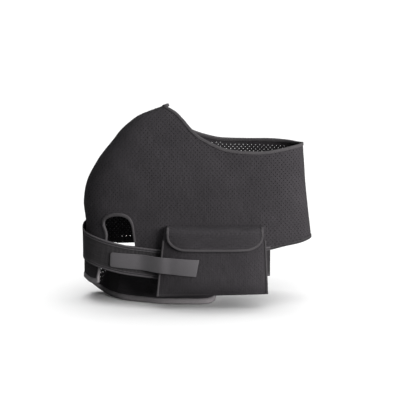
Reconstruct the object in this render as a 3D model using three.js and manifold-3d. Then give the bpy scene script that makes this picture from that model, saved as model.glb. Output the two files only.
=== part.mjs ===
// Shoulder brace of perforated neoprene, with an arm flap, a closing strap and a hanging pocket.
// Millimetres: X to the wearer's right in the picture, Y away from the viewer, Z up.

import * as THREE from "three";
import Module from "manifold-3d";

const wasm = await Module();
wasm.setup();

// Driving sizes
const LOOP_WIDTH = 396;
const PEAK_HEIGHT = 346;
const LOOP_HALF_DEPTH = 64;
const SHEET = 3;
const TAPE = 0.8;
const GAP = 0.3;
const LOOSE_GAP = 0.8;
const CURVED_TAPE_GAP = 0.95;
const TAPE_LEG = 5;
const FLAP_LEG = 3;
const HEM_LEG = 8.5;
const HEM_STRIP = 10;
const STRAP_WIDTH = 52;
const STRAP_THICK = 1.6;
const TAB_START_WIDTH = 25.4;
const TAB_END_WIDTH = 29.6;
const TAB_THICK = 1.8;
const TAB_SLANT = 4;
const POCKET_SHEET = 2;
const POCKET_BULGE = 15;
const POCKET_TOP_WIDTH = 172;
const POCKET_FOOT_WIDTH = 190;
const POCKET_DROP = 121;
const POCKET_FOOT_RISE = 4.3;
const POCKET_MOUTH_DROP = 10;
const POCKET_LEG = 2.8;
const POCKET_TAPE_ROOM = 1.4;
const LID_WIDTH = 162;
const LID_DROP = 37;
const LID_ROLL_DROP = 9;
const LID_CLEAR = 1.6;
const LID_LEG = 3;

// How the loop closes over the shoulder, and how square its plan is
const DOME_FOOT = 0.491;
const DOME_ABOVE_PEAK = 0.006;
const DOME_POWER = 2.2;
const OVAL_POWER = 2.5;

// Counts of facets
const HALF_COLUMNS = 38;
const PANEL_ROWS = 9;
const FLAP_COLUMNS = 40;
const FLAP_ROWS = 8;
const ARCH_STATIONS = 26;
const STRAP_COLUMNS = 50;
const POCKET_COLUMNS = 14;
const POCKET_ROWS = 9;
const LID_ROLL_ROWS = 4;
const LID_FALL_ROWS = 4;
const TAB_COLUMNS = 20;

// In the tables, across is a share of the loop's width, away of its half depth, and every height,
// top and bottom of the height of the peak

// Outer edges of the loop at each height, seen from the front
const SIDE_EDGES = [
  { height: 0.231, left: -0.495, right: 0.504 },
  { height: 0.327, left: -0.494, right: 0.5 },
  { height: 0.39, left: -0.4885, right: 0.4938 },
  { height: 0.439, left: -0.4925, right: 0.488 },
  { height: 0.514, left: -0.498, right: 0.48 },
  { height: 0.618, left: -0.481, right: 0.47 },
  { height: 0.72, left: -0.434, right: 0.463 },
  { height: 0.772, left: -0.401, right: 0.459 },
  { height: 0.822, left: -0.365, right: 0.457 },
  { height: 0.873, left: -0.33, right: 0.456 },
  { height: 0.922, left: -0.281, right: 0.454 },
  { height: 0.948, left: -0.246, right: 0.453 },
  { height: 0.974, left: -0.189, right: 0.452 },
  { height: 1, left: -0.126, right: 0.451 },
];

// Top and bottom edges of the loop, by the share of the way from the right side to the left side
const FRONT_EDGES = [
  { share: 0, top: 0.809, bottom: 0.329 },
  { share: 0.04, top: 0.81, bottom: 0.331 },
  { share: 0.1, top: 0.805, bottom: 0.322 },
  { share: 0.166, top: 0.795, bottom: 0.313 },
  { share: 0.23, top: 0.786, bottom: 0.298 },
  { share: 0.293, top: 0.786, bottom: 0.291 },
  { share: 0.361, top: 0.791, bottom: 0.289 },
  { share: 0.424, top: 0.803, bottom: 0.288 },
  { share: 0.478, top: 0.824, bottom: 0.288 },
  { share: 0.5415, top: 0.853, bottom: 0.287 },
  { share: 0.608, top: 0.891, bottom: 0.286 },
  { share: 0.648, top: 0.914, bottom: 0.285 },
  { share: 0.692, top: 0.937, bottom: 0.284 },
  { share: 0.756, top: 0.959, bottom: 0.283 },
  { share: 0.85, top: 0.979, bottom: 0.301 },
  { share: 1, top: 1, bottom: 0.301 },
];
const BACK_EDGES = [
  { share: 0, top: 0.809, bottom: 0.329 },
  { share: 0.06, top: 0.802, bottom: 0.321 },
  { share: 0.113, top: 0.805, bottom: 0.312 },
  { share: 0.2, top: 0.808, bottom: 0.298 },
  { share: 0.315, top: 0.805, bottom: 0.285 },
  { share: 0.43, top: 0.808, bottom: 0.277 },
  { share: 0.49, top: 0.8195, bottom: 0.275 },
  { share: 0.556, top: 0.839, bottom: 0.27 },
  { share: 0.608, top: 0.8605, bottom: 0.266 },
  { share: 0.65, top: 0.887, bottom: 0.262 },
  { share: 0.692, top: 0.915, bottom: 0.259 },
  { share: 0.756, top: 0.941, bottom: 0.257 },
  { share: 0.85, top: 0.97, bottom: 0.262 },
  { share: 0.93, top: 0.986, bottom: 0.28 },
  { share: 1, top: 1, bottom: 0.301 },
];

// Half outline of the arm cutout in the front, from its right foot over the top to its left foot
const ARCH_EDGE = [
  { across: -0.268, height: 0.266 },
  { across: -0.271, height: 0.322 },
  { across: -0.274, height: 0.352 },
  { across: -0.2775, height: 0.383 },
  { across: -0.281, height: 0.413 },
  { across: -0.2885, height: 0.4385 },
  { across: -0.302, height: 0.457 },
  { across: -0.3235, height: 0.467 },
  { across: -0.348, height: 0.468 },
  { across: -0.371, height: 0.4625 },
  { across: -0.393, height: 0.451 },
  { across: -0.405, height: 0.434 },
  { across: -0.406, height: 0.412 },
  { across: -0.3995, height: 0.389 },
  { across: -0.395, height: 0.366 },
  { across: -0.397, height: 0.338 },
  { across: -0.4, height: 0.283 },
];

// Upper edge of the arm flap past the slit in the back, and the hem that it rests on
const FLAP_TOP = [
  { turn: 0.43, across: -0.379, away: 0.744, height: 0.254 },
  { turn: 0.5, across: -0.323, away: 0.805, height: 0.24 },
  { turn: 0.62, across: -0.212, away: 0.828, height: 0.228 },
  { turn: 0.76, across: -0.086, away: 0.781, height: 0.225 },
  { turn: 0.9, across: 0.03, away: 0.688, height: 0.228 },
  { turn: 1, across: 0.091, away: 0.562, height: 0.234 },
];
const FLAP_JOIN_TURN = 0.385;
const FLAP_JOIN_FRONT = 0.862;
const FLAP_JOIN_BACK = 0.862;
const FLAP_HEM = [
  { turn: 0, across: -0.437, away: -0.52, height: 0.108 },
  { turn: 0.03, across: -0.452, away: -0.44, height: 0.1 },
  { turn: 0.08, across: -0.474, away: -0.281, height: 0.099 },
  { turn: 0.17, across: -0.503, away: 0.078, height: 0.108 },
  { turn: 0.25, across: -0.495, away: 0.422, height: 0.078 },
  { turn: 0.32, across: -0.465, away: 0.63, height: 0.029 },
  { turn: 0.38, across: -0.424, away: 0.562, height: 0.002 },
  { turn: 0.43, across: -0.398, away: 0.29, height: 0 },
  { turn: 0.5, across: -0.358, away: -0.008, height: 0 },
  { turn: 0.56, across: -0.311, away: -0.219, height: 0 },
  { turn: 0.64, across: -0.233, away: -0.391, height: 0 },
  { turn: 0.72, across: -0.157, away: -0.531, height: 0 },
  { turn: 0.82, across: -0.04, away: -0.562, height: 0 },
  { turn: 0.9, across: 0.037, away: -0.531, height: 0 },
  { turn: 0.95, across: 0.067, away: -0.312, height: 0 },
  { turn: 1, across: 0.077, away: 0.094, height: 0 },
];
const FLAP_BULGE = 0.015;
const FLAP_CORE = -0.278;

// Strap by the way round the loop, from the right side at 0 over the left side at 1 to the back;
// lift is 0 where it lies on the wall, and 1 where it clears a folded tape
const STRAP_LINE = [
  { way: 0.225, height: 0.241, lift: 1 },
  { way: 0.4, height: 0.222, lift: 1 },
  { way: 0.58, height: 0.22, lift: 1 },
  { way: 0.66, height: 0.2315, lift: 1 },
  { way: 0.72, height: 0.239, lift: 1 },
  { way: 0.78, height: 0.247, lift: 1 },
  { way: 0.855, height: 0.2645, lift: 1.3 },
  { way: 0.92, height: 0.284, lift: 1.5 },
  { way: 1, height: 0.31, lift: 1.6 },
  { way: 1.08, height: 0.337, lift: 1.4 },
  { way: 1.16, height: 0.361, lift: 0.2 },
  { way: 1.24, height: 0.37, lift: 0.1 },
];
const STRAP_PLAN_HEIGHT = 0.312;

// Places of the pocket and its lid, and the lid's round corners
const POCKET_TOP_MIDDLE = 0.073;
const POCKET_FOOT_MIDDLE = 0.064;
const LID_SEAM_HEIGHT = 0.422;
const LID_MIDDLE = 0.075;
const LID_CORNER_SHARE = 0.19;
const LID_CORNER_START = 0.2;

// Tab: where it starts on the strap and ends over the pocket, and its height
const TAB_ON_STRAP = [0.836, 0.808, 0.776, 0.743, 0.71];
const TAB_ON_POCKET = [0.08, 0.15, 0.22, 0.29, 0.363];
const TAB_START_HEIGHT = 0.246;
const TAB_END_HEIGHT = 0.228;

// Smooth curve through the rows of a table, read at one column and giving another
function curveOf(rows, from, to) {
  const slope = (i) => {
    const a = rows[Math.max(i - 1, 0)];
    const b = rows[Math.min(i + 1, rows.length - 1)];
    return (b[to] - a[to]) / (b[from] - a[from]);
  };
  return (at) => {
    if (at <= rows[0][from]) return rows[0][to];
    if (at >= rows[rows.length - 1][from]) return rows[rows.length - 1][to];
    let k = 0;
    while (at > rows[k + 1][from]) k += 1;
    const width = rows[k + 1][from] - rows[k][from];
    const t = (at - rows[k][from]) / width;
    const start = (2 * t ** 3 - 3 * t ** 2 + 1) * rows[k][to] + (t ** 3 - 2 * t ** 2 + t) * slope(k) * width;
    const end = (3 * t ** 2 - 2 * t ** 3) * rows[k + 1][to] + (t ** 3 - t ** 2) * slope(k + 1) * width;
    return start + end;
  };
}

// Numbers the rows of a path by even steps, so that curveOf can run along it
function numbered(rows) {
  return rows.map((row, i) => ({ ...row, step: i / (rows.length - 1) }));
}

const mix = (a, b, share) => a + (b - a) * share;
const shares = (count) => Array.from({ length: count + 1 }, (_, i) => i / count);
const leftShare = curveOf(SIDE_EDGES, "height", "left");
const rightShare = curveOf(SIDE_EDGES, "height", "right");
const leftEdge = (height) => LOOP_WIDTH * leftShare(height / PEAK_HEIGHT);
const rightEdge = (height) => LOOP_WIDTH * rightShare(height / PEAK_HEIGHT);

// Half depth of the loop, which closes over the shoulder like a dome
function halfDepth(height) {
  const level = height / PEAK_HEIGHT;
  if (level <= DOME_FOOT) return LOOP_HALF_DEPTH;
  const rise = (level - DOME_FOOT) / (1 + DOME_ABOVE_PEAK - DOME_FOOT);
  return LOOP_HALF_DEPTH * Math.sqrt(Math.max(0, 1 - rise ** DOME_POWER));
}

// Half an oval of unit half axes, numbered by the share of its length
const OVAL = (() => {
  const steps = 1200;
  const stretch = LOOP_WIDTH / (2 * LOOP_HALF_DEPTH);
  const rows = [];
  let length = 0;
  for (let i = 0; i <= steps; i += 1) {
    const angle = (Math.PI * i) / steps;
    const c = Math.cos(angle);
    const along = Math.sign(c) * Math.abs(c) ** (2 / OVAL_POWER);
    const aside = Math.abs(Math.sin(angle)) ** (2 / OVAL_POWER);
    if (i > 0) length += Math.hypot((along - rows[i - 1].along) * stretch, aside - rows[i - 1].aside);
    rows.push({ length, along, aside });
  }
  return rows.map((row) => ({ ...row, length: row.length / length }));
})();

function ovalAt(share) {
  let low = 0;
  let high = OVAL.length - 1;
  while (high - low > 1) {
    const middle = (low + high) >> 1;
    if (OVAL[middle].length < share) low = middle;
    else high = middle;
  }
  const t = Math.min(Math.max((share - OVAL[low].length) / (OVAL[high].length - OVAL[low].length), 0), 1);
  return {
    along: mix(OVAL[low].along, OVAL[high].along, t),
    aside: mix(OVAL[low].aside, OVAL[high].aside, t),
  };
}

// Point on the middle of the loop's wall: side is -1 in front and 1 behind
function wallPoint(share, side, height) {
  const { along, aside } = ovalAt(share);
  const middle = (leftEdge(height) + rightEdge(height)) / 2;
  const half = (rightEdge(height) - leftEdge(height)) / 2;
  return new THREE.Vector3(middle + half * along, side * halfDepth(height) * aside, height);
}

// The same wall, found from how far across a point lies
function wallPointAcross(across, side, height) {
  const middle = (leftEdge(height) + rightEdge(height)) / 2;
  const half = (rightEdge(height) - leftEdge(height)) / 2;
  const along = Math.min(Math.abs(across - middle) / half, 1);
  const aside = (1 - along ** OVAL_POWER) ** (1 / OVAL_POWER);
  return new THREE.Vector3(across, side * halfDepth(height) * aside, height);
}

// Outward normals of a grid of points, taken from its neighbours
function normalsOf(grid, closed) {
  const last = grid[0].length - 1;
  return grid.map((row, i) => row.map((point, j) => {
    const up = new THREE.Vector3().subVectors(grid[Math.min(i + 1, grid.length - 1)][j], grid[Math.max(i - 1, 0)][j]);
    const next = closed ? row[(j + 1) % (last + 1)] : row[Math.min(j + 1, last)];
    const before = closed ? row[(j + last) % (last + 1)] : row[Math.max(j - 1, 0)];
    return new THREE.Vector3().subVectors(next, before).cross(up).normalize();
  }));
}

function volumeOf(points, faces) {
  let volume = 0;
  for (const [a, b, c] of faces) volume += points[a].dot(new THREE.Vector3().crossVectors(points[b], points[c]));
  return volume / 6;
}

function geometryOf(points, quads) {
  let faces = quads.flatMap(([a, b, c, d]) => [[a, b, c], [a, c, d]]);
  if (volumeOf(points, faces) < 0) faces = faces.map(([a, b, c]) => [a, c, b]);
  const geometry = new THREE.BufferGeometry();
  geometry.setAttribute("position", new THREE.Float32BufferAttribute(points.flatMap((p) => [p.x, p.y, p.z]), 3));
  geometry.setIndex(faces.flat());
  return geometry;
}

// Closed solid of even thickness about a grid of middle points
function sheetOf(grid, thick, normals = normalsOf(grid, false)) {
  const rows = grid.length;
  const columns = grid[0].length;
  const points = [];
  for (const way of [1, -1]) {
    grid.forEach((row, i) => row.forEach((point, j) => {
      points.push(point.clone().addScaledVector(normals[i][j], (way * thick) / 2));
    }));
  }
  const outer = (i, j) => i * columns + j;
  const inner = (i, j) => rows * columns + i * columns + j;
  const quads = [];
  for (let i = 0; i < rows - 1; i += 1) {
    for (let j = 0; j < columns - 1; j += 1) {
      quads.push([outer(i, j), outer(i, j + 1), outer(i + 1, j + 1), outer(i + 1, j)]);
      quads.push([inner(i, j), inner(i + 1, j), inner(i + 1, j + 1), inner(i, j + 1)]);
    }
  }
  for (let j = 0; j < columns - 1; j += 1) {
    quads.push([outer(0, j), inner(0, j), inner(0, j + 1), outer(0, j + 1)]);
    quads.push([outer(rows - 1, j), outer(rows - 1, j + 1), inner(rows - 1, j + 1), inner(rows - 1, j)]);
  }
  for (let i = 0; i < rows - 1; i += 1) {
    quads.push([outer(i, 0), outer(i + 1, 0), inner(i + 1, 0), inner(i, 0)]);
    quads.push([outer(i, columns - 1), inner(i, columns - 1), inner(i + 1, columns - 1), outer(i + 1, columns - 1)]);
  }
  return geometryOf(points, quads);
}

// Folded tape that wraps an edge: each station has the edge point, the normal, the way into the
// sheet, and how far the tape reaches over it
function tapeOf(stations, thick, gap, closed) {
  const inside = thick / 2 + gap;
  const outside = inside + TAPE;
  const corners = (leg) => [
    [-outside, leg],
    [-outside, -gap - TAPE],
    [outside, -gap - TAPE],
    [outside, leg],
    [inside, leg],
    [inside, -gap],
    [-inside, -gap],
    [-inside, leg],
  ];
  const points = stations.flatMap(({ edge, normal, inward, leg }) => corners(leg).map(([out, into]) => (
    edge.clone().addScaledVector(normal, out).addScaledVector(inward, into))));
  const size = corners(0).length;
  const quads = [];
  const spans = closed ? stations.length : stations.length - 1;
  for (let i = 0; i < spans; i += 1) {
    const next = (i + 1) % stations.length;
    for (let k = 0; k < size; k += 1) {
      const turn = (k + 1) % size;
      quads.push([i * size + k, i * size + turn, next * size + turn, next * size + k]);
    }
  }
  if (!closed) {
    const end = (stations.length - 1) * size;
    for (const [a, b, c, d] of [[0, 1, 6, 7], [1, 2, 5, 6], [2, 3, 4, 5]]) {
      quads.push([d, c, b, a], [end + a, end + b, end + c, end + d]);
    }
  }
  return geometryOf(points, quads);
}

// The whole loop as one grid: row 0 is the bottom edge, column 0 the right side, and the columns
// run round the front to the left side and back behind
const frontTop = curveOf(FRONT_EDGES, "share", "top");
const frontBottom = curveOf(FRONT_EDGES, "share", "bottom");
const backTop = curveOf(BACK_EDGES, "share", "top");
const backBottom = curveOf(BACK_EDGES, "share", "bottom");

function loopColumn(j) {
  const front = j <= HALF_COLUMNS;
  const share = front ? j / HALF_COLUMNS : 2 - j / HALF_COLUMNS;
  const edges = front ? [frontBottom(share), frontTop(share)] : [backBottom(share), backTop(share)];
  return { share, side: front ? -1 : 1, low: edges[0] * PEAK_HEIGHT, high: edges[1] * PEAK_HEIGHT };
}

const LOOP_GRID = Array.from({ length: PANEL_ROWS + 1 }, (_, i) => (
  Array.from({ length: 2 * HALF_COLUMNS }, (_unused, j) => {
    const { share, side, low, high } = loopColumn(j);
    return wallPoint(share, side, mix(low, high, i / PANEL_ROWS));
  })));
const LOOP_NORMALS = normalsOf(LOOP_GRID, true).map((row) => row.map((normal, j) => (
  j % HALF_COLUMNS === 0 ? normal.setY(0).normalize() : normal)));

// One half of the loop, from seam to seam
function panelOf(side) {
  const count = HALF_COLUMNS + 1;
  const start = side < 0 ? 0 : HALF_COLUMNS;
  const pick = (row) => Array.from({ length: count }, (_, j) => row[(start + j) % (2 * HALF_COLUMNS)]);
  const grid = LOOP_GRID.map((row) => pick(row).map((point, j) => (
    j % HALF_COLUMNS === 0 ? point.clone().setY((side * GAP) / 2) : point)));
  return sheetOf(grid, SHEET, LOOP_NORMALS.map(pick));
}

function manifoldOf(geometry) {
  return new wasm.Manifold(new wasm.Mesh({
    numProp: 3,
    vertProperties: new Float32Array(geometry.getAttribute("position").array),
    triVerts: new Uint32Array(geometry.getIndex().array),
  }));
}

function geometryFrom(manifold) {
  const mesh = manifold.getMesh();
  const geometry = new THREE.BufferGeometry();
  geometry.setAttribute("position", new THREE.Float32BufferAttribute(Array.from(mesh.vertProperties), mesh.numProp));
  geometry.setIndex(Array.from(mesh.triVerts));
  return geometry;
}

const archRows = numbered(ARCH_EDGE);
const archAcrossShare = curveOf(archRows, "step", "across");
const archHeightShare = curveOf(archRows, "step", "height");
const archAcross = (step) => LOOP_WIDTH * archAcrossShare(step);
const archHeight = (step) => PEAK_HEIGHT * archHeightShare(step);

function archPoint(share) {
  return wallPointAcross(archAcross(share), -1, archHeight(share));
}

// The front half, with the arm cutout taken out of it
function frontPanel() {
  const outline = Array.from({ length: ARCH_STATIONS + 1 }, (_, i) => (
    new THREE.Vector2(archAcross(i / ARCH_STATIONS), archHeight(i / ARCH_STATIONS))));
  const first = outline[0];
  const last = outline[outline.length - 1];
  const below = SHEET * 10;
  outline.push(new THREE.Vector2(last.x, last.y - below), new THREE.Vector2(first.x, first.y - below));
  const cutter = new THREE.ExtrudeGeometry(new THREE.Shape(outline), { depth: LOOP_HALF_DEPTH, bevelEnabled: false });
  cutter.rotateX(Math.PI / 2).translate(0, -LOOP_HALF_DEPTH / 4, 0);
  const welded = new wasm.Mesh({
    numProp: 3,
    vertProperties: new Float32Array(cutter.getAttribute("position").array),
    triVerts: Uint32Array.from(Array.from({ length: cutter.getAttribute("position").count }, (_, i) => i)),
  });
  welded.merge();
  return geometryFrom(manifoldOf(panelOf(-1)).subtract(new wasm.Manifold(welded)));
}

// Tape round the neck, all the way round the top edge
function neckBinding() {
  const top = PANEL_ROWS;
  const stations = LOOP_GRID[top].map((edge, j) => ({
    edge,
    normal: LOOP_NORMALS[top][j],
    inward: new THREE.Vector3().subVectors(LOOP_GRID[top - 1][j], edge).normalize(),
    leg: TAPE_LEG,
  }));
  return tapeOf(stations, SHEET, GAP, true);
}

// Tape along the bottom of the torso band, from the arm cutout round to the slit behind
function bandBinding() {
  const first = 0.725 * HALF_COLUMNS;
  const last = (2 - 0.83) * HALF_COLUMNS;
  const stations = [];
  for (let j = Math.floor(first); j >= 0; j -= 1) stations.push(j);
  for (let j = 2 * HALF_COLUMNS - 1; j >= Math.ceil(last); j -= 1) stations.push(j);
  return tapeOf(stations.map((j) => ({
    edge: LOOP_GRID[0][j],
    normal: LOOP_NORMALS[0][j],
    inward: new THREE.Vector3().subVectors(LOOP_GRID[1][j], LOOP_GRID[0][j]).normalize(),
    leg: TAPE_LEG,
  })), SHEET, GAP, false);
}

function wallNormal(across, height) {
  const reach = 1;
  const right = wallPointAcross(across + reach, -1, height).sub(wallPointAcross(across - reach, -1, height));
  const up = wallPointAcross(across, -1, height + reach).sub(wallPointAcross(across, -1, height - reach));
  return new THREE.Vector3().crossVectors(right, up).normalize();
}

// Tape round the arm cutout, whose legs reach to the wall rather than past its curve
function archBinding() {
  const from = 0.05;
  const to = 0.945;
  const step = 0.01;
  const stations = shares(ARCH_STATIONS).map((share) => {
    const at = mix(from, to, share);
    const edge = archPoint(at);
    const along = archPoint(at + step).sub(archPoint(at - step)).normalize();
    const away = new THREE.Vector3().crossVectors(along, wallNormal(edge.x, edge.z)).multiplyScalar(TAPE_LEG);
    const inward = wallPointAcross(edge.x + away.x, -1, edge.z + away.z).sub(edge).normalize();
    const normal = new THREE.Vector3().crossVectors(inward, along).normalize();
    return { edge, normal, inward, leg: TAPE_LEG };
  });
  return tapeOf(stations, SHEET, CURVED_TAPE_GAP, false);
}

// Upper edge of the flap: it follows the loop where the two are sewn together, and then hangs free
function pathOf(rows) {
  const [across, away, height] = ["across", "away", "height"].map((name) => curveOf(rows, "turn", name));
  return (turn) => new THREE.Vector3(
    across(turn) * LOOP_WIDTH,
    away(turn) * LOOP_HALF_DEPTH,
    Math.max(height(turn), 0) * PEAK_HEIGHT,
  );
}

const flapFreeTop = pathOf(FLAP_TOP);
const flapHem = pathOf(FLAP_HEM);

function flapTopPoint(turn) {
  const free = FLAP_TOP[0].turn;
  if (turn >= free) return flapFreeTop(turn);
  const join = Math.min(turn / FLAP_JOIN_TURN, 1);
  const front = 1 - FLAP_JOIN_FRONT;
  const back = 1 - FLAP_JOIN_BACK;
  const way = mix(-front, back, join);
  const share = 1 - Math.abs(way);
  const low = PEAK_HEIGHT * (way < 0 ? frontBottom(share) : backBottom(share));
  const joined = wallPoint(share, way < 0 ? -1 : 1, low - LOOSE_GAP);
  if (turn <= FLAP_JOIN_TURN) return joined;
  return joined.lerp(flapFreeTop(free), (turn - FLAP_JOIN_TURN) / (free - FLAP_JOIN_TURN));
}

function flapHemPoint(turn) {
  return flapHem(turn).add(new THREE.Vector3(0, 0, CURVED_TAPE_GAP + TAPE));
}

// The flap's wall hangs from its upper edge to the hem, whose last strip stands upright
function flapPoint(turn, drop) {
  const top = flapTopPoint(turn);
  const hem = flapHemPoint(turn);
  const strip = hem.clone().setZ(hem.z + HEM_STRIP);
  if (drop > 1) return strip.lerp(hem, drop - 1);
  const bulge = FLAP_BULGE * LOOP_HALF_DEPTH * Math.sin(Math.PI * drop) * (1 - turn);
  const point = top.lerp(strip, drop);
  const out = new THREE.Vector3(point.x - FLAP_CORE * LOOP_WIDTH, point.y, 0).setLength(bulge);
  return point.add(out);
}

const FLAP_DROPS = [...Array.from({ length: FLAP_ROWS + 1 }, (_, i) => i / FLAP_ROWS), 2];
const FLAP_GRID = FLAP_DROPS.map((drop) => (
  Array.from({ length: FLAP_COLUMNS + 1 }, (_, j) => flapPoint(j / FLAP_COLUMNS, drop)))).reverse();
const FLAP_NORMALS = normalsOf(FLAP_GRID, false);

// Tape round the free edges of the flap: down its front edge, along the hem and up its free end
function flapBinding() {
  const top = FLAP_GRID.length - 1;
  const end = FLAP_COLUMNS;
  const towards = (from, to) => new THREE.Vector3().subVectors(to, from).normalize();
  const station = (i, j, inward, leg) => ({ edge: FLAP_GRID[i][j], normal: FLAP_NORMALS[i][j], inward, leg });
  const stations = [];
  for (let i = top - 1; i > 0; i -= 1) {
    stations.push(station(i, 0, towards(FLAP_GRID[i][0], FLAP_GRID[i][1]), FLAP_LEG));
  }
  for (let j = 0; j <= end; j += 1) {
    const up = towards(FLAP_GRID[0][j], FLAP_GRID[1][j]);
    const corner = j === 0 || j === end;
    const aside = towards(FLAP_GRID[0][j], FLAP_GRID[0][j === 0 ? 1 : end - 1]);
    stations.push(station(0, j, corner ? up.add(aside) : up, corner ? FLAP_LEG : HEM_LEG));
  }
  for (let i = 1; i < top; i += 1) {
    stations.push(station(i, end, towards(FLAP_GRID[i][end], FLAP_GRID[i][end - 1]), FLAP_LEG));
  }
  return tapeOf(stations, SHEET, CURVED_TAPE_GAP, false);
}

// Strap: an upright ribbon outside the wall, whose middle line climbs round to the back
const strapHeight = curveOf(STRAP_LINE, "way", "height");
const strapLift = curveOf(STRAP_LINE, "way", "lift");
const STRAP_SEAT = SHEET / 2 + GAP + STRAP_THICK / 2;
const STRAP_OVER_TAPE = SHEET / 2 + LOOSE_GAP + TAPE + GAP + STRAP_THICK / 2;

function wayPoint(way) {
  return wallPoint(way <= 1 ? way : 2 - way, way <= 1 ? -1 : 1, STRAP_PLAN_HEIGHT * PEAK_HEIGHT);
}

function strapPlace(way, further = 0) {
  const reach = 0.004;
  const along = wayPoint(way + reach).sub(wayPoint(way - reach));
  const off = mix(STRAP_SEAT, STRAP_OVER_TAPE, strapLift(way)) + further;
  const out = new THREE.Vector3(along.y, -along.x, 0).setLength(off).negate();
  return wayPoint(way).add(out).setZ(strapHeight(way) * PEAK_HEIGHT);
}

function strapGrid(width) {
  const from = STRAP_LINE[0].way;
  const to = STRAP_LINE[STRAP_LINE.length - 1].way;
  const places = shares(STRAP_COLUMNS).map((share) => strapPlace(mix(from, to, share)));
  const slopes = places.map((place, j) => {
    const before = places[Math.max(j - 1, 0)];
    const next = places[Math.min(j + 1, STRAP_COLUMNS)];
    return (next.z - before.z) / Math.hypot(next.x - before.x, next.y - before.y);
  });
  return [-0.5, 0.5].map((across) => places.map((place, j) => (
    place.clone().setZ(place.z + across * width * Math.hypot(1, slopes[j])))));
}

// Pocket: a back that hangs from under the lid's seam, and a bulging front that meets it at the
// sides and the foot
const POCKET_TAPE_OUT = POCKET_SHEET + GAP / 2 + GAP + POCKET_TAPE_ROOM + TAPE;
const POCKET_MIDDLE = -(LOOP_HALF_DEPTH + STRAP_OVER_TAPE + STRAP_THICK / 2 + GAP + POCKET_TAPE_OUT);
const SEAM_LEVEL = LID_SEAM_HEIGHT * PEAK_HEIGHT;
const POCKET_FOOT_LEVEL = SEAM_LEVEL - POCKET_DROP;
const POCKET_MOUTH_LEVEL = SEAM_LEVEL - POCKET_MOUTH_DROP;
const SHEETS_APART = (POCKET_SHEET + GAP) / 2;

// Place in the pocket at a height, across from its left edge at 0 to its right edge at 1
function pocketAcross(across, level) {
  const fall = (POCKET_MOUTH_LEVEL - level) / (POCKET_MOUTH_LEVEL - POCKET_FOOT_LEVEL);
  const middle = LOOP_WIDTH * mix(POCKET_TOP_MIDDLE, POCKET_FOOT_MIDDLE, fall);
  return middle + (across - 0.5) * mix(POCKET_TOP_WIDTH, POCKET_FOOT_WIDTH, fall);
}

// The foot rises towards the right, and the sheets drop their rows with it
function pocketRise(across, level) {
  return POCKET_FOOT_RISE * across * Math.max((POCKET_MOUTH_LEVEL - level) / (POCKET_MOUTH_LEVEL - POCKET_FOOT_LEVEL), 0);
}

function pocketBulge(across, level) {
  const fall = (POCKET_MOUTH_LEVEL - level) / (POCKET_MOUTH_LEVEL - POCKET_FOOT_LEVEL);
  const mouth = 0.72;
  const sideways = 1 - Math.abs(2 * across - 1) ** 3;
  const belly = fall < 0.5 ? mix(mouth, 1, Math.sin(Math.PI * Math.max(fall, 0))) : 1 - (2 * fall - 1) ** 4;
  return POCKET_BULGE * sideways * belly;
}

function pocketFrontPoint(across, level) {
  const away = POCKET_MIDDLE - SHEETS_APART - pocketBulge(across, level);
  return new THREE.Vector3(pocketAcross(across, level), away, level + pocketRise(across, level));
}

// The back leans to the wall at its top, where it is sewn on under the lid
function pocketBackPoint(across, level) {
  const lean = 0.15;
  const fall = (POCKET_BACK_LEVEL - level) / (POCKET_BACK_LEVEL - POCKET_FOOT_LEVEL);
  const x = pocketAcross(across, level);
  const seat = wallPointAcross(x, -1, level).y - SHEET / 2 - GAP - POCKET_SHEET / 2;
  const turn = fall < lean ? (1 - Math.cos((Math.PI * fall) / lean)) / 2 : 1;
  return new THREE.Vector3(x, mix(seat, POCKET_MIDDLE + SHEETS_APART, turn), level + pocketRise(across, level));
}

const POCKET_BACK_LEVEL = SEAM_LEVEL - POCKET_SHEET / 2 - LOOSE_GAP;

function pocketGrid(pointAt, top) {
  return shares(POCKET_ROWS).map((rise) => shares(POCKET_COLUMNS).map((across) => (
    pointAt(across, mix(POCKET_FOOT_LEVEL, top, rise)))));
}

// Tape over both sheets of the pocket at one side, from the foot to below the mouth
function pocketBinding(across) {
  const inward = new THREE.Vector3(across === 0 ? 1 : -1, 0, 0);
  const stations = shares(POCKET_ROWS).slice(0, -1).map((rise) => {
    const level = mix(POCKET_FOOT_LEVEL, POCKET_MOUTH_LEVEL, rise);
    const edge = new THREE.Vector3(pocketAcross(across, level), POCKET_MIDDLE, level + pocketRise(across, level));
    return { edge, normal: new THREE.Vector3(0, -1, 0), inward, leg: POCKET_LEG };
  });
  return tapeOf(stations, 2 * POCKET_SHEET + GAP, GAP + POCKET_TAPE_ROOM, false);
}

// Lid: sewn to the front of the loop above the pocket, it rolls forward over the mouth and falls
function lidFrontAway(x, level) {
  const left = pocketAcross(0, level);
  const across = Math.min(Math.max((x - left) / (pocketAcross(1, level) - left), 0), 1);
  const overPocket = pocketFrontPoint(across, level).y - POCKET_SHEET - LID_CLEAR;
  const overTape = POCKET_MIDDLE - POCKET_TAPE_OUT - GAP - TAPE - GAP - POCKET_SHEET / 2;
  return Math.min(overPocket, overTape);
}

function lidReach(across) {
  const corner = Math.min(across, 1 - across) / LID_CORNER_SHARE;
  return corner >= 1 ? 1 : mix(LID_CORNER_START, 1, Math.sqrt(1 - (1 - corner) ** 2));
}

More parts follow.
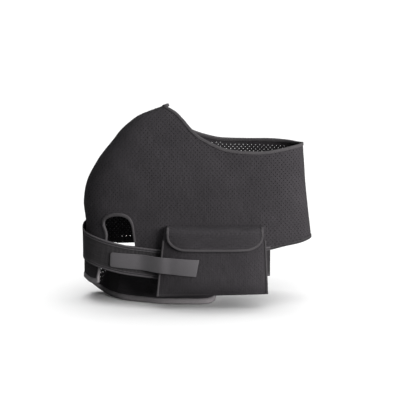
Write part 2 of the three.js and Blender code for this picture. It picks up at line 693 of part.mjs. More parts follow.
function lidPoint(across, row) {
  const x = LID_MIDDLE * LOOP_WIDTH + (across - 0.5) * LID_WIDTH;
  const seat = wallPointAcross(x, -1, SEAM_LEVEL).y - SHEET / 2 - GAP;
  const rollEnd = SEAM_LEVEL - LID_ROLL_DROP;
  if (row <= LID_ROLL_ROWS) {
    const angle = (Math.PI / 2) * (row / LID_ROLL_ROWS);
    const away = mix(seat, lidFrontAway(x, rollEnd), Math.sin(angle));
    return new THREE.Vector3(x, away, SEAM_LEVEL - LID_ROLL_DROP * (1 - Math.cos(angle)));
  }
  const fall = (row - LID_ROLL_ROWS) / LID_FALL_ROWS;
  const level = rollEnd - (LID_DROP - LID_ROLL_DROP) * fall * lidReach(across);
  return new THREE.Vector3(x, lidFrontAway(x, level), level);
}

const LID_ROWS = LID_ROLL_ROWS + LID_FALL_ROWS;
const LID_GRID = Array.from({ length: LID_ROWS + 1 }, (_, row) => (
  shares(POCKET_COLUMNS).map((across) => lidPoint(across, LID_ROWS - row))));
const LID_NORMALS = normalsOf(LID_GRID, false);

// Tape round the lid's free edge: down one side, round the foot and up the other
function lidBinding() {
  const towards = (from, to) => new THREE.Vector3().subVectors(to, from).normalize();
  const end = POCKET_COLUMNS;
  const cornerReach = 0.8;
  const station = (i, j, inward) => ({ edge: LID_GRID[i][j], normal: LID_NORMALS[i][j], inward, leg: LID_LEG });
  const side = (i, j, next) => station(i, j, towards(LID_GRID[i][j], LID_GRID[i][next]));
  const foot = shares(end).map((share) => {
    const j = Math.round(share * end);
    const up = towards(LID_GRID[0][j], LID_GRID[1][j]);
    if (j > 0 && j < end) return station(0, j, up);
    return station(0, j, up.add(towards(LID_GRID[0][j], LID_GRID[0][j === 0 ? 1 : end - 1])).multiplyScalar(cornerReach));
  });
  const rows = Array.from({ length: LID_ROWS - 2 }, (_, i) => i + 1);
  const stations = [
    ...rows.map((i) => side(i, 0, 1)).reverse(),
    ...foot,
    ...rows.map((i) => side(i, end, end - 1)),
  ];
  return tapeOf(stations, POCKET_SHEET, GAP, false);
}

// Smooth tab: a bendy plate that lies on the strap, climbs over the pocket's edge and lies on its front
function tabGrid() {
  const seat = (STRAP_THICK + TAB_THICK + LOOSE_GAP) / 2 + GAP / 4;
  const level = (step) => PEAK_HEIGHT * mix(TAB_START_HEIGHT, TAB_END_HEIGHT, step);
  const middle = level(0.5);
  const onStrap = TAB_ON_STRAP.map((way) => strapPlace(way, seat).setZ(0));
  const edge = new THREE.Vector3(pocketAcross(0, middle) - GAP, POCKET_MIDDLE - POCKET_TAPE_OUT - 2 * TAB_THICK, 0);
  const onPocket = TAB_ON_POCKET.map((across) => {
    const point = pocketFrontPoint(across, middle).setZ(0);
    return point.setY(point.y - POCKET_SHEET / 2 - TAB_THICK);
  });
  const line = new THREE.CatmullRomCurve3([...onStrap, edge, ...onPocket]);
  const length = line.getLength();
  return [-0.5, 0.5].map((half) => shares(TAB_COLUMNS).map((step) => {
    const end = half < 0 ? 1 - TAB_SLANT / length : 1;
    return line.getPointAt(step * end).setZ(level(step) + half * mix(TAB_START_WIDTH, TAB_END_WIDTH, step));
  }));
}

const group = new THREE.Group();
const COLOURS = { cloth: 0x2b2b2e, tape: 0x3c3c40, strap: 0x333337, tab: 0x55565a };

function add(name, geometry, colour) {
  const mesh = new THREE.Mesh(geometry, new THREE.MeshStandardMaterial({ name, color: colour, roughness: 0.9 }));
  mesh.name = name;
  group.add(mesh);
}

add("front_panel", frontPanel(), COLOURS.cloth);
add("back_panel", panelOf(1), COLOURS.cloth);
add("arm_flap", sheetOf(FLAP_GRID, SHEET, FLAP_NORMALS), COLOURS.cloth);
add("neck_binding", neckBinding(), COLOURS.tape);
add("band_binding", bandBinding(), COLOURS.tape);
add("arch_binding", archBinding(), COLOURS.tape);
add("flap_binding", flapBinding(), COLOURS.tape);
add("arm_strap", sheetOf(strapGrid(STRAP_WIDTH), STRAP_THICK), COLOURS.strap);
add("pocket_back", sheetOf(pocketGrid(pocketBackPoint, POCKET_BACK_LEVEL), POCKET_SHEET), COLOURS.cloth);
add("pocket_front", sheetOf(pocketGrid(pocketFrontPoint, POCKET_MOUTH_LEVEL), POCKET_SHEET), COLOURS.cloth);
add("pocket_binding_left", pocketBinding(0), COLOURS.tape);
add("pocket_binding_right", pocketBinding(1), COLOURS.tape);
add("pocket_lid", sheetOf(LID_GRID, POCKET_SHEET, LID_NORMALS), COLOURS.cloth);
add("lid_binding", lidBinding(), COLOURS.tape);
add("strap_tab", sheetOf(tabGrid(), TAB_THICK), COLOURS.tab);

// The object stands on the floor with its middle over the origin
const reach = new THREE.Box3().setFromObject(group, true);
const centre = reach.getCenter(new THREE.Vector3());
group.position.set(-centre.x, -centre.y, -reach.min.z);
group.updateMatrixWorld(true);

export default group;
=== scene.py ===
import math

import bpy
import numpy as np
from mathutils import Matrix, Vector
from mathutils.geometry import delaunay_2d_cdt


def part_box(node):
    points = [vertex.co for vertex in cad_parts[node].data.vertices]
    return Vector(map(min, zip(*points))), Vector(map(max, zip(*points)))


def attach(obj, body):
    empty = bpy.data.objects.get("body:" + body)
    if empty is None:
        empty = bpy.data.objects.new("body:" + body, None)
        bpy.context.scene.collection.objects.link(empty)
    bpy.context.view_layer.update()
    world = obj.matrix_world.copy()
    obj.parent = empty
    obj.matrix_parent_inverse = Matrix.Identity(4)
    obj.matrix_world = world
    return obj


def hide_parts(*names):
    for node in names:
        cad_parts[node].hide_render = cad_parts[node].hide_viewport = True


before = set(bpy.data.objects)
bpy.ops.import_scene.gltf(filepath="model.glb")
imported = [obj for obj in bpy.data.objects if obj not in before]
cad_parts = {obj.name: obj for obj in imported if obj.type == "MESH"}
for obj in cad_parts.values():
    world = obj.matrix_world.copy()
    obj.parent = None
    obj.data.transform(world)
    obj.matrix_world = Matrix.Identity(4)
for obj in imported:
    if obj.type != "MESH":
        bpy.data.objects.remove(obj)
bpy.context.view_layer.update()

MM = 0.001

# Driving sizes in millimetres, most of them as in the CAD source
LOOP_WIDTH = 396
PEAK_HEIGHT = 346
LOOP_HALF_DEPTH = 64
SHEET = 3.0
CAD_TAPE = 0.8
TAPE = 0.7
TAPE_LEG = 4.6
ARCH_SIDE_LEG = 2.7
ARCH_TOP_LEG = 5.0
GAP = 0.3
TAPE_ROOM = 0.8
THREAD_LIFT = 0.05
CURVED_TAPE_ROOM = 0.95
HEM_LEG = 8.5
FLAP_LEG = 3.0
POCKET_LEG = 2.8
LID_LEG = 3.0
HEM_STRIP = 10
STITCH_LENGTH = 2.7
STITCH_RADIUS = 0.24
STITCH_PITCH = 3.7
SEAM_PITCH = 2.1
HINT_REACH = 5.0
SEAM_ENDS = 7
PATCH_THICK = 0.9
STRAP_WIDTH = 52
STRAP_THICK = 1.6
TAB_START_WIDTH = 25.4
TAB_END_WIDTH = 29.6
TAB_THICK = 1.8
TAB_SLANT = 4
TAB_START_CORNER = 3.4
TAB_END_CORNER = 0.8
TAB_RIM = 0.45
TAB_UNCUT = 6
POCKET_SHEET = 2.0
POCKET_BULGE = 15
POCKET_TOP_WIDTH = 172
POCKET_FOOT_WIDTH = 190
POCKET_DROP = 121
POCKET_FOOT_RISE = 4.3
POCKET_MOUTH_DROP = 10
POCKET_TAPE_ROOM = 1.4
LID_WIDTH = 162
LID_DROP = 37
LID_ROLL_DROP = 9
LID_CLEAR = 1.6

# Counts, powers and shares
DOME_FOOT = 0.491
DOME_ABOVE_PEAK = 0.006
DOME_POWER = 2.2
OVAL_POWER = 2.5
MOUTH_BULGE = 0.72
POCKET_LEAN = 0.15
BAND_TAPE_ENDS = (0.71, 0.83)
ARCH_TAPE_ENDS = (0.09, 0.945)
ARCH_WIDENS = (0.2, 0.45)
ARCH_NARROWS = (0.55, 0.78)
PLAIN_TURNS = (0.405, 0.635)
PATCH_TURNS = (0.405, 0.5)
PATCH_DROPS = (0.12, 0.97)
TAB_SMOOTHING = 20
TAB_CUTS = 64

# Perforation of the neoprene: a staggered lattice of round holes
HOLE_PITCH = 7.4
HOLE_ROWS = 3.9
HOLE_RADIUS = 0.95
HOLE_SIDES = 8
HOLE_MARGIN = 4.4
POCKET_MARGIN = 6.0
LID_MARGIN = 5.0
RIM_MARGIN = 8.0
HOLE_WEB = 0.7
FILLER_PITCH = 9.0
FILLER_MARGIN = 2.2


def table(columns, *rows):
    """Rows of numbers under named columns."""
    return [dict(zip(columns.split(), row)) for row in rows]


# Tables, in shares of the width, the half depth and the height of the peak
SIDE_EDGES = table(
    "height left right",
    (0.231, -0.495, 0.504), (0.327, -0.494, 0.5), (0.39, -0.4885, 0.4938), (0.439, -0.4925, 0.488),
    (0.514, -0.498, 0.48), (0.618, -0.481, 0.47), (0.72, -0.434, 0.463), (0.772, -0.401, 0.459),
    (0.822, -0.365, 0.457), (0.873, -0.33, 0.456), (0.922, -0.281, 0.454), (0.948, -0.246, 0.453),
    (0.974, -0.189, 0.452), (1, -0.126, 0.451),
)
FRONT_EDGES = table(
    "share top bottom",
    (0, 0.809, 0.329), (0.04, 0.81, 0.331), (0.1, 0.805, 0.322), (0.166, 0.795, 0.313),
    (0.23, 0.786, 0.298), (0.293, 0.786, 0.291), (0.361, 0.791, 0.289), (0.424, 0.803, 0.288),
    (0.478, 0.824, 0.288), (0.5415, 0.853, 0.287), (0.608, 0.891, 0.286), (0.648, 0.914, 0.285),
    (0.692, 0.937, 0.284), (0.756, 0.959, 0.283), (0.85, 0.979, 0.301), (1, 1, 0.301),
)
BACK_EDGES = table(
    "share top bottom",
    (0, 0.809, 0.329), (0.06, 0.802, 0.321), (0.113, 0.805, 0.312), (0.2, 0.808, 0.298),
    (0.315, 0.805, 0.285), (0.43, 0.808, 0.277), (0.49, 0.8195, 0.275), (0.556, 0.839, 0.27),
    (0.608, 0.8605, 0.266), (0.65, 0.887, 0.262), (0.692, 0.915, 0.259), (0.756, 0.941, 0.257),
    (0.85, 0.97, 0.262), (0.93, 0.986, 0.28), (1, 1, 0.301),
)
ARCH_EDGE = table(
    "across height",
    (-0.268, 0.266), (-0.271, 0.322), (-0.274, 0.352), (-0.2775, 0.383), (-0.281, 0.413),
    (-0.2885, 0.4385), (-0.302, 0.457), (-0.3235, 0.467), (-0.348, 0.468), (-0.371, 0.4625),
    (-0.393, 0.451), (-0.405, 0.434), (-0.406, 0.412), (-0.3995, 0.389), (-0.395, 0.366),
    (-0.397, 0.338), (-0.4, 0.283),
)
FLAP_TOP = table(
    "turn across away height",
    (0.43, -0.379, 0.744, 0.254), (0.5, -0.323, 0.805, 0.24), (0.62, -0.212, 0.828, 0.228),
    (0.76, -0.086, 0.781, 0.225), (0.9, 0.03, 0.688, 0.228), (1, 0.091, 0.562, 0.234),
)
FLAP_HEM = table(
    "turn across away height",
    (0, -0.437, -0.52, 0.108), (0.03, -0.452, -0.44, 0.1), (0.08, -0.474, -0.281, 0.099),
    (0.17, -0.503, 0.078, 0.108), (0.25, -0.495, 0.422, 0.078), (0.32, -0.465, 0.63, 0.029),
    (0.38, -0.424, 0.562, 0.002), (0.43, -0.398, 0.29, 0), (0.5, -0.358, -0.008, 0),
    (0.56, -0.311, -0.219, 0), (0.64, -0.233, -0.391, 0), (0.72, -0.157, -0.531, 0),
    (0.82, -0.04, -0.562, 0), (0.9, 0.037, -0.531, 0), (0.95, 0.067, -0.312, 0), (1, 0.077, 0.094, 0),
)
STRAP_LINE = table(
    "way height lift",
    (0.225, 0.241, 1), (0.4, 0.222, 1), (0.58, 0.22, 1), (0.66, 0.2315, 1), (0.72, 0.239, 1),
    (0.78, 0.247, 1), (0.855, 0.2645, 1.3), (0.92, 0.284, 1.5), (1, 0.31, 1.6), (1.08, 0.337, 1.4),
    (1.16, 0.361, 0.2), (1.24, 0.37, 0.1),
)
FLAP_JOIN_TURN = 0.385
FLAP_JOIN_FRONT = 0.862
FLAP_JOIN_BACK = 0.862
FLAP_BULGE = 0.015
FLAP_CORE = -0.278
STRAP_PLAN_HEIGHT = 0.312
POCKET_TOP_MIDDLE = 0.073
POCKET_FOOT_MIDDLE = 0.064
LID_SEAM_HEIGHT = 0.422
LID_MIDDLE = 0.075
LID_CORNER_SHARE = 0.19
LID_CORNER_START = 0.2
TAB_ON_STRAP = [0.836, 0.808, 0.776, 0.743, 0.71]
TAB_ON_POCKET = [0.08, 0.15, 0.22, 0.29, 0.363]
TAB_START_HEIGHT = 0.246
TAB_END_HEIGHT = 0.228

# Waves of soft cloth in the loop, which start above the strap
SOFT_WAVES = table("size across up turn", (0.75, 41, 53, 1), (0.5, 22, -34, 2), (0.35, 13, 19, 0))
SOFT_START = 152
SOFT_FULL = 195


# Numbers and curves


def curve_of(rows, source, target):
    """Smooth curve through a table, read at one column and giving another, for whole arrays."""
    xs = np.array([row[source] for row in rows], float)
    ys = np.array([row[target] for row in rows], float)
    last = len(xs) - 1
    before = np.maximum(np.arange(last + 1) - 1, 0)
    after = np.minimum(np.arange(last + 1) + 1, last)
    slopes = (ys[after] - ys[before]) / (xs[after] - xs[before])

    def at(value):
        value = np.clip(np.asarray(value, float), xs[0], xs[-1])
        k = np.clip(np.searchsorted(xs, value, side="right") - 1, 0, last - 1)
        width = xs[k + 1] - xs[k]
        t = (value - xs[k]) / width
        start = (2 * t**3 - 3 * t**2 + 1) * ys[k] + (t**3 - 2 * t**2 + t) * slopes[k] * width
        return start + (3 * t**2 - 2 * t**3) * ys[k + 1] + (t**3 - t**2) * slopes[k + 1] * width

    return at


def numbered(rows):
    return [dict(row, step=i / (len(rows) - 1)) for i, row in enumerate(rows)]


def mix(a, b, share):
    return a + (b - a) * share


def smooth(low, high, value):
    t = np.clip((np.asarray(value, float) - low) / (high - low), 0, 1)
    return t * t * (3 - 2 * t)


def unit(vectors):
    length = np.linalg.norm(vectors, axis=-1, keepdims=True)
    return vectors / np.maximum(length, 1e-9)


def running(steps):
    """Sums of steps so far, from 0."""
    return np.concatenate([[0], np.cumsum(steps)])


def lengths(points):
    """Length along a path, from 0 at its start."""
    return running(np.linalg.norm(np.diff(points, axis=0), axis=1))


def rank(values, row):
    """Where values lie in a rising row, as fractional places in it."""
    return np.interp(values, row, np.arange(len(row)))


def ranked(places, row):
    """Values of a row at fractional places."""
    return np.interp(places, np.arange(len(row)), row)


def floats(*values):
    return np.broadcast_arrays(*(np.asarray(value, float) for value in values))


def sampled(at, length, field):
    """Values of a path's field at chosen lengths along it."""
    return np.stack([np.interp(at, length, field[:, k]) for k in range(3)], axis=1)


# The loop's wall


left_share = curve_of(SIDE_EDGES, "height", "left")
right_share = curve_of(SIDE_EDGES, "height", "right")
front_top = curve_of(FRONT_EDGES, "share", "top")
front_bottom = curve_of(FRONT_EDGES, "share", "bottom")
back_top = curve_of(BACK_EDGES, "share", "top")
back_bottom = curve_of(BACK_EDGES, "share", "bottom")
EDGE_CURVES = {
    ("top", -1): front_top, ("top", 1): back_top, ("bottom", -1): front_bottom, ("bottom", 1): back_bottom,
}


def half_depth(height):
    rise = (np.asarray(height, float) / PEAK_HEIGHT - DOME_FOOT) / (1 + DOME_ABOVE_PEAK - DOME_FOOT)
    return LOOP_HALF_DEPTH * np.sqrt(np.maximum(0, 1 - np.maximum(rise, 0) ** DOME_POWER))


def make_oval(steps=1600):
    angle = np.pi * np.arange(steps + 1) / steps
    along = np.sign(np.cos(angle)) * np.abs(np.cos(angle)) ** (2 / OVAL_POWER)
    aside = np.abs(np.sin(angle)) ** (2 / OVAL_POWER)
    stretch = LOOP_WIDTH / (2 * LOOP_HALF_DEPTH)
    step = np.hypot(np.diff(along) * stretch, np.diff(aside))
    length = running(step)
    return length / length[-1], along, aside


OVAL_LENGTH, OVAL_ALONG, OVAL_ASIDE = make_oval()


def middle_and_half(height):
    level = np.asarray(height, float) / PEAK_HEIGHT
    left, right = LOOP_WIDTH * left_share(level), LOOP_WIDTH * right_share(level)
    return (left + right) / 2, (right - left) / 2


def softness(x, side, height):
    """Broad waves of hanging cloth, in millimetres, still where other pieces lie against the wall."""
    wave = 0
    for row in SOFT_WAVES:
        wave = wave + row["size"] * np.sin(x / row["across"] + height / row["up"] + row["turn"] * side)
    return wave * smooth(SOFT_START, SOFT_FULL, height)


def wall(share, side, height):
    share, height = floats(share, height)
    along = np.interp(share, OVAL_LENGTH, OVAL_ALONG)
    aside = np.interp(share, OVAL_LENGTH, OVAL_ASIDE)
    middle, half = middle_and_half(height)
    x = middle + half * along
    depth = half_depth(height) + softness(x, side, height)
    return np.stack([x, side * depth * aside, height], axis=-1)


def wall_across(x, side, height):
    middle, half = middle_and_half(height)
    along = np.minimum(np.abs(np.asarray(x, float) - middle) / half, 1)
    aside = (1 - along**OVAL_POWER) ** (1 / OVAL_POWER)
    depth = half_depth(height) + softness(x, side, height)
    return np.stack(np.broadcast_arrays(x, side * depth * aside, height), axis=-1).astype(float)


def share_across(x, height):
    middle, half = middle_and_half(height)
    return np.interp(-(np.asarray(x, float) - middle) / half, -OVAL_ALONG, OVAL_LENGTH)


class Surface:
    """A dense grid of points with normals, and a nearly true flat pattern of it."""

    def __init__(self, points, along_rows):
        self.points = points
        across = np.gradient(points, axis=0)
        down = np.gradient(points, axis=1)
        self.normals = unit(np.cross(across, down))
        self.rows = along_rows
        steps = np.linalg.norm(np.diff(points, axis=1), axis=2)
        self.lengths = np.concatenate([np.zeros((points.shape[0], 1)), np.cumsum(steps, axis=1)], axis=1)

    def shift_lengths(self, zero_at):
        """Measures each row's lengths from a chosen place in it."""
        zero = np.array([ranked(z, row) for z, row in zip(zero_at, self.lengths)])
        self.lengths = self.lengths - zero[:, None]

    def turn(self, outward):
        """Turns the normals to agree with ways that point outward."""
        if (self.normals * outward).sum(axis=-1).mean() < 0:
            self.normals = -self.normals

    def spot(self, grid, i, j):
        rows, columns = grid.shape[0] - 1, grid.shape[1] - 1
        i, j = np.clip(i, 0, rows), np.clip(j, 0, columns)
        i0, j0 = np.minimum(i.astype(int), rows - 1), np.minimum(j.astype(int), columns - 1)
        a, b = i - i0, j - j0
        if grid.ndim == 3:
            a, b = a[..., None], b[..., None]
        top = grid[i0, j0] * (1 - b) + grid[i0, j0 + 1] * b
        return top * (1 - a) + (grid[i0 + 1, j0] * (1 - b) + grid[i0 + 1, j0 + 1] * b) * a

    def flat(self, i, j):
        i, j = np.asarray(i, float), np.asarray(j, float)
        return np.stack([self.spot(self.lengths, i, j), ranked(i, self.rows)], axis=-1)

    def locate(self, flat):
        """Grid places of flat points."""
        i = rank(flat[:, 1], self.rows)
        j = np.empty(len(flat))
        for k, (row, u) in enumerate(zip(i, flat[:, 0])):
            low = min(int(row), len(self.rows) - 2)
            share = row - low
            j[k] = rank(u, self.lengths[low] * (1 - share) + self.lengths[low + 1] * share)
        return i, j

    def at(self, i, j):
        """Points and normals at grid places."""
        return self.spot(self.points, i, j), unit(self.spot(self.normals, i, j))


def rim_of(surface, steps=1):
    """Flat outline of a whole surface, in order round its grid."""
    rows, columns = surface.points.shape[0] - 1, surface.points.shape[1] - 1
    i, j = np.linspace(0, rows, rows * steps + 1), np.linspace(0, columns, columns * steps + 1)
    sides = [(i, 0 * i), (0 * j + rows, j), (i[::-1], 0 * i + columns), (0 * j, j[::-1])]
    return surface.flat(*(np.concatenate([side[k][:-1] for side in sides]) for k in (0, 1)))


# Meshes


def placed(points):
    return (np.asarray(points) + PLACE) * MM


def new_object(name, data):
    obj = bpy.data.objects.new(name, data)
    bpy.context.scene.collection.objects.link(obj)
    return obj


def mesh_object(name, points, faces, uvs=None, sharp=None):
    used = np.zeros(len(points), bool)
    used[[k for face in faces for k in face]] = True
    if not used.all():
        number = np.cumsum(used) - 1
        faces = [tuple(int(number[k]) for k in face) for face in faces]
        sharp = [(int(number[a]), int(number[b])) for a, b in sharp or ()]
        points = np.asarray(points)[used]
        uvs = None if uvs is None else np.asarray(uvs)[used]
    mesh = bpy.data.meshes.new(name)
    mesh.from_pydata([tuple(p) for p in placed(points)], [], faces)
    mesh.update()
    mesh.polygons.foreach_set("use_smooth", [True] * len(mesh.polygons))
    if sharp:
        keys = {tuple(sorted(edge)) for edge in sharp}
        for edge in mesh.edges:
            if tuple(sorted(edge.vertices)) in keys:
                edge.use_edge_sharp = True
    if uvs is not None:
        layer = mesh.uv_layers.new(name="cloth")
        corners = np.empty(len(mesh.loops), int)
        mesh.loops.foreach_get("vertex_index", corners)
        layer.data.foreach_set("uv", (np.asarray(uvs)[corners] * MM).ravel())
    return new_object(name, mesh)


def distance_to_loop(points, loop):
    """Shortest way from each point to a closed outline."""
    best = np.full(len(points), 1e9)
    for a, b in zip(loop, np.roll(loop, -1, axis=0)):
        way = b - a
        t = np.clip(((points - a) @ way) / max(way @ way, 1e-12), 0, 1)
        best = np.minimum(best, np.linalg.norm(points - a - t[:, None] * way, axis=1))
    return best


def inside_loop(points, loop):
    inside = np.zeros(len(points), bool)
    x, y = points[:, 0], points[:, 1]
    for a, b in zip(loop, np.roll(loop, -1, axis=0)):
        if a[1] == b[1]:
            continue
        crosses = (a[1] > y) != (b[1] > y)
        inside ^= crosses & (x < (b[0] - a[0]) * (y - a[1]) / (b[1] - a[1]) + a[0])
    return inside


def lattice(loop, pitch, rows, margin, keep=None):
    """Centres of a staggered lattice that lie inside an outline, a margin away from it."""
    low, high = loop.min(axis=0), loop.max(axis=0)
    across = range(int(low[0] // pitch) - 1, int(high[0] // pitch) + 2)
    up = range(int(low[1] // rows), int(high[1] // rows) + 2)
    centres = np.array([(k * pitch + m % 2 * pitch / 2, m * rows) for m in up for k in across])
    centres = centres[inside_loop(centres, loop)]
    centres = centres[distance_to_loop(centres, loop) > margin]
    if keep is not None:
        centres = centres[keep(centres)]
    return centres


def punched(loop, centres):
    """Flat triangles over an outline: the points, the hole that each point belongs to, and the triangles."""
    points = [tuple(p) for p in loop]
    edges = [(k, (k + 1) % len(loop)) for k in range(len(loop))]
    hole_of = [-1] * len(points)
    angles = 2 * math.pi * (np.arange(HOLE_SIDES) + 0.5) / HOLE_SIDES
    for number, (u, v) in enumerate(centres):
        start = len(points)
        points += [(u + HOLE_RADIUS * math.cos(a), v + HOLE_RADIUS * math.sin(a)) for a in angles]
        edges += [(start + k, start + (k + 1) % HOLE_SIDES) for k in range(HOLE_SIDES)]
        hole_of += [number] * HOLE_SIDES
    extra = lattice(loop, FILLER_PITCH, FILLER_PITCH * 0.8, FILLER_MARGIN)
    if len(centres) and len(extra):
        near = np.array([np.min((centres[:, 0] - u) ** 2 + (centres[:, 1] - v) ** 2) for u, v in extra])
        extra = extra[near > (0.8 * HOLE_PITCH) ** 2]
    points += [tuple(p) for p in extra]
    hole_of += [-1] * len(extra)
    result = delaunay_2d_cdt([Vector(p) for p in points], edges, [], 1, 1e-5)
    hole = np.array([hole_of[ids[0]] if ids and ids[0] < len(hole_of) else -1 for ids in result[3]])
    return np.array([tuple(v) for v in result[0]]), hole, np.array([tuple(face) for face in result[2]])


def rim_faces(rim, hole, count, through):
    """Side faces of a punched sheet, and the numbers of those that line a hole cut through."""
    faces, cut = [], []
    for a, b in rim:
        if through or hole[a] < 0:
            if hole[a] >= 0:
                cut.append(len(faces))
            faces.append((b, a, a + count, b + count))
        else:
            faces.append((b, a, a + 2 * count, b + 2 * count))
            faces.append((a + count, b + count, b + 3 * count, a + 3 * count))
    return faces, cut


def perforated(name, surface, loop, thick, margin, keep=None, through=True):
    """Sheet of even thickness cut to a flat outline, with a lattice of round holes.

    A hole that isn't cut through is a dimple in each face, with a web left in the middle.
    """
    flat, hole, triangles = punched(loop, lattice(loop, HOLE_PITCH, HOLE_ROWS, margin, keep))
    middle, normals = surface.at(*surface.locate(flat))
    a, b, c = triangles[0]
    if np.cross(middle[b] - middle[a], middle[c] - middle[a]) @ normals[a] < 0:
        triangles = triangles[:, [0, 2, 1]]
    holes = hole[triangles]
    in_hole = (holes[:, 0] >= 0) & (holes[:, 0] == holes[:, 1]) & (holes[:, 1] == holes[:, 2])
    floors, triangles = triangles[in_hole], triangles[~in_hole]
    directed = {(x, y) for f in triangles.tolist() for x, y in ((f[0], f[1]), (f[1], f[2]), (f[2], f[0]))}
    rim = [edge for edge in directed if (edge[1], edge[0]) not in directed]
    count = len(flat)
    levels = [thick / 2, -thick / 2] if through else [thick / 2, -thick / 2, HOLE_WEB / 2, -HOLE_WEB / 2]
    verts = np.concatenate([middle + normals * level for level in levels])
    faces = triangles.tolist() + (triangles[:, ::-1] + count).tolist()
    sides, cut = rim_faces(rim, hole, count, through)
    second_finish = [len(faces) + k for k in cut]
    faces += sides
    sharp = [(a + level, b + level) for a, b in rim for level in (0, count)]
    if not through:
        faces += (floors + 2 * count).tolist() + (floors[:, ::-1] + 3 * count).tolist()
    obj = mesh_object(name, verts, faces, np.concatenate([flat] * len(levels)), sharp)
    # Walls of holes cut through take the second material; on the back panel that is a pale finish, painted
    # light that shows through the holes.
    for k in second_finish:
        obj.data.polygons[k].material_index = 1
    return obj


def ring_faces(start, rings, size, closed=False):
    """Faces from each ring of points to the next, with caps where the row of rings ends."""
    faces = []
    for i in range(rings if closed else rings - 1):
        a, b = start + i * size, start + (i + 1) % rings * size
        faces += [(a + k, a + (k + 1) % size, b + (k + 1) % size, b + k) for k in range(size)]
    if not closed:
        last = start + (rings - 1) * size
        faces += [tuple(range(start, start + size))[::-1], tuple(range(last, last + size))]
    return faces


def sweep(name, stations, profile, closed=False):
    """Closed profile carried along stations of edge, normal, inward way and leg."""
    edge, normal, inward, leg = stations
    section = np.array(profile)
    size, count = len(section), len(edge)
    verts = edge[:, None] + section[None, :, :1] * normal[:, None] + section[None, :, 1:2] * inward[:, None]
    verts = verts + section[None, :, 2:] * leg[:, None]
    along = lengths(edge)
    reach = np.linalg.norm(leg, axis=1).mean()
    flat = np.stack([section[:, 0], section[:, 1] + section[:, 2] * reach], axis=1)
    around = lengths(flat)
    uvs = np.stack(np.meshgrid(along, around, indexing="ij"), axis=-1).reshape(-1, 2)
    return outward(mesh_object(name, verts.reshape(-1, 3), ring_faces(0, count, size, closed), uvs))


def outward(obj):
    """Turns a closed mesh's faces out, by the sign of its volume."""
    mesh = obj.data
    mesh.calc_loop_triangles()
    co = np.empty(len(mesh.vertices) * 3)
    mesh.vertices.foreach_get("co", co)
    co = co.reshape(-1, 3)
    tri = np.empty(len(mesh.loop_triangles) * 3, int)
    mesh.loop_triangles.foreach_get("vertices", tri)
    a, b, c = co[tri.reshape(-1, 3)].transpose(1, 0, 2)
    if np.einsum("ij,ij->i", a, np.cross(b, c)).sum() < 0:
        mesh.flip_normals()
    return obj


def folded(half, room):
    """Section of a folded tape, as shares of normal, inward way and leg: a U with a round back."""
    inner = half + room
    outer = inner + TAPE
    back = [(outer * math.cos(a), -0.35 - 0.95 * math.sin(a), 0) for a in np.linspace(0, math.pi, 9)]
    near, rim = half + 0.12, 0.4 * TAPE
    section = [(near + rim, 0, 1), (near + TAPE, 0, 0.9), (outer, 0, 0.5)] + back
    section += [(-outer, 0, 0.5), (-near - TAPE, 0, 0.9), (-near - rim, 0, 1)]
    section += [(-near, 0, 1), (-inner, 0, 0.5), (-inner, 0, 0), (-inner * 0.6, -0.5, 0)]
    section += [(inner * 0.6, -0.5, 0), (inner, 0, 0), (inner, 0, 0.5), (near, 0, 1)]
    return section


def edge_stations(edge, hint, leg, surface_way, closed=False):
    """Stations along an edge: hint points into the sheet, surface_way away from its outer face."""
    if closed:
        tangent = np.roll(edge, -1, axis=0) - np.roll(edge, 1, axis=0)
    else:
        tangent = np.gradient(edge, axis=0)
    tangent = unit(tangent)
    inward = unit(hint - (hint * tangent).sum(axis=1, keepdims=True) * tangent)
    normal = unit(np.cross(tangent, inward))
    if (normal * surface_way).sum() < 0:
        normal = -normal
    return [edge, normal, inward, inward * leg]


def stitches(name, places, normals, ways, length=STITCH_LENGTH, radius=STITCH_RADIUS):
    """Row of short threads that lie on the cloth, each a small closed capsule."""
    sides, rings = 6, [(-0.5, 0.35), (-0.32, 1.0), (0.32, 1.0), (0.5, 0.35)]
    verts, faces = [], []
    for place, normal, way in zip(places, normals, ways):
        across, start = np.cross(normal, way), len(verts)
        for along, size in rings:
            middle = place + way * length * along + normal * radius * (0.7 - 1.6 * abs(along))
            for k in range(sides):
                angle = 2 * math.pi * k / sides
                verts.append(middle + radius * size * (math.cos(angle) * across + math.sin(angle) * normal))
        faces += ring_faces(start, len(rings), sides)
    return outward(mesh_object(name, np.array(verts), faces))


def thread_row(lines):
    """Even places along several paths of points and normals, for a row of stitches."""
    places, normals, ways = [], [], []
    for points, outs in lines:
        length = lengths(points)
        at = np.arange(STITCH_PITCH / 2, length[-1], STITCH_PITCH)
        places.append(sampled(at, length, points))
        normals.append(unit(sampled(at, length, outs)))
        ways.append(unit(sampled(at, length, unit(np.gradient(points, axis=0)))))
    return [np.concatenate(part) for part in (places, normals, ways)]


def tape_threads(name, stations, half, room, reach=0.72, closed=False, faces=(1, -1)):
    """Stitches along a tape, on both of its legs."""
    edge, normal, _, leg = stations
    if closed:
        edge, normal, leg = [np.concatenate([part, part[:1]]) for part in (edge, normal, leg)]
    level = mix(half + room, half + 0.2, (reach - 0.5) / 0.5) + TAPE
    lines = [(edge + way * normal * level + leg * reach, way * normal) for way in faces]
    return stitches(name, *thread_row(lines))


# The frame's place


def source_place():
    """Where the source's own origin lies in the frame, in millimetres."""
    front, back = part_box("front_panel"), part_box("back_panel")
    right = LOOP_WIDTH * float(right_share(FRONT_EDGES[0]["bottom"])) + SHEET / 2
    return np.array([front[1].x / MM - right, (front[1].y + back[0].y) / 2 / MM, 0.0])


PLACE = source_place()


# The two halves of the loop


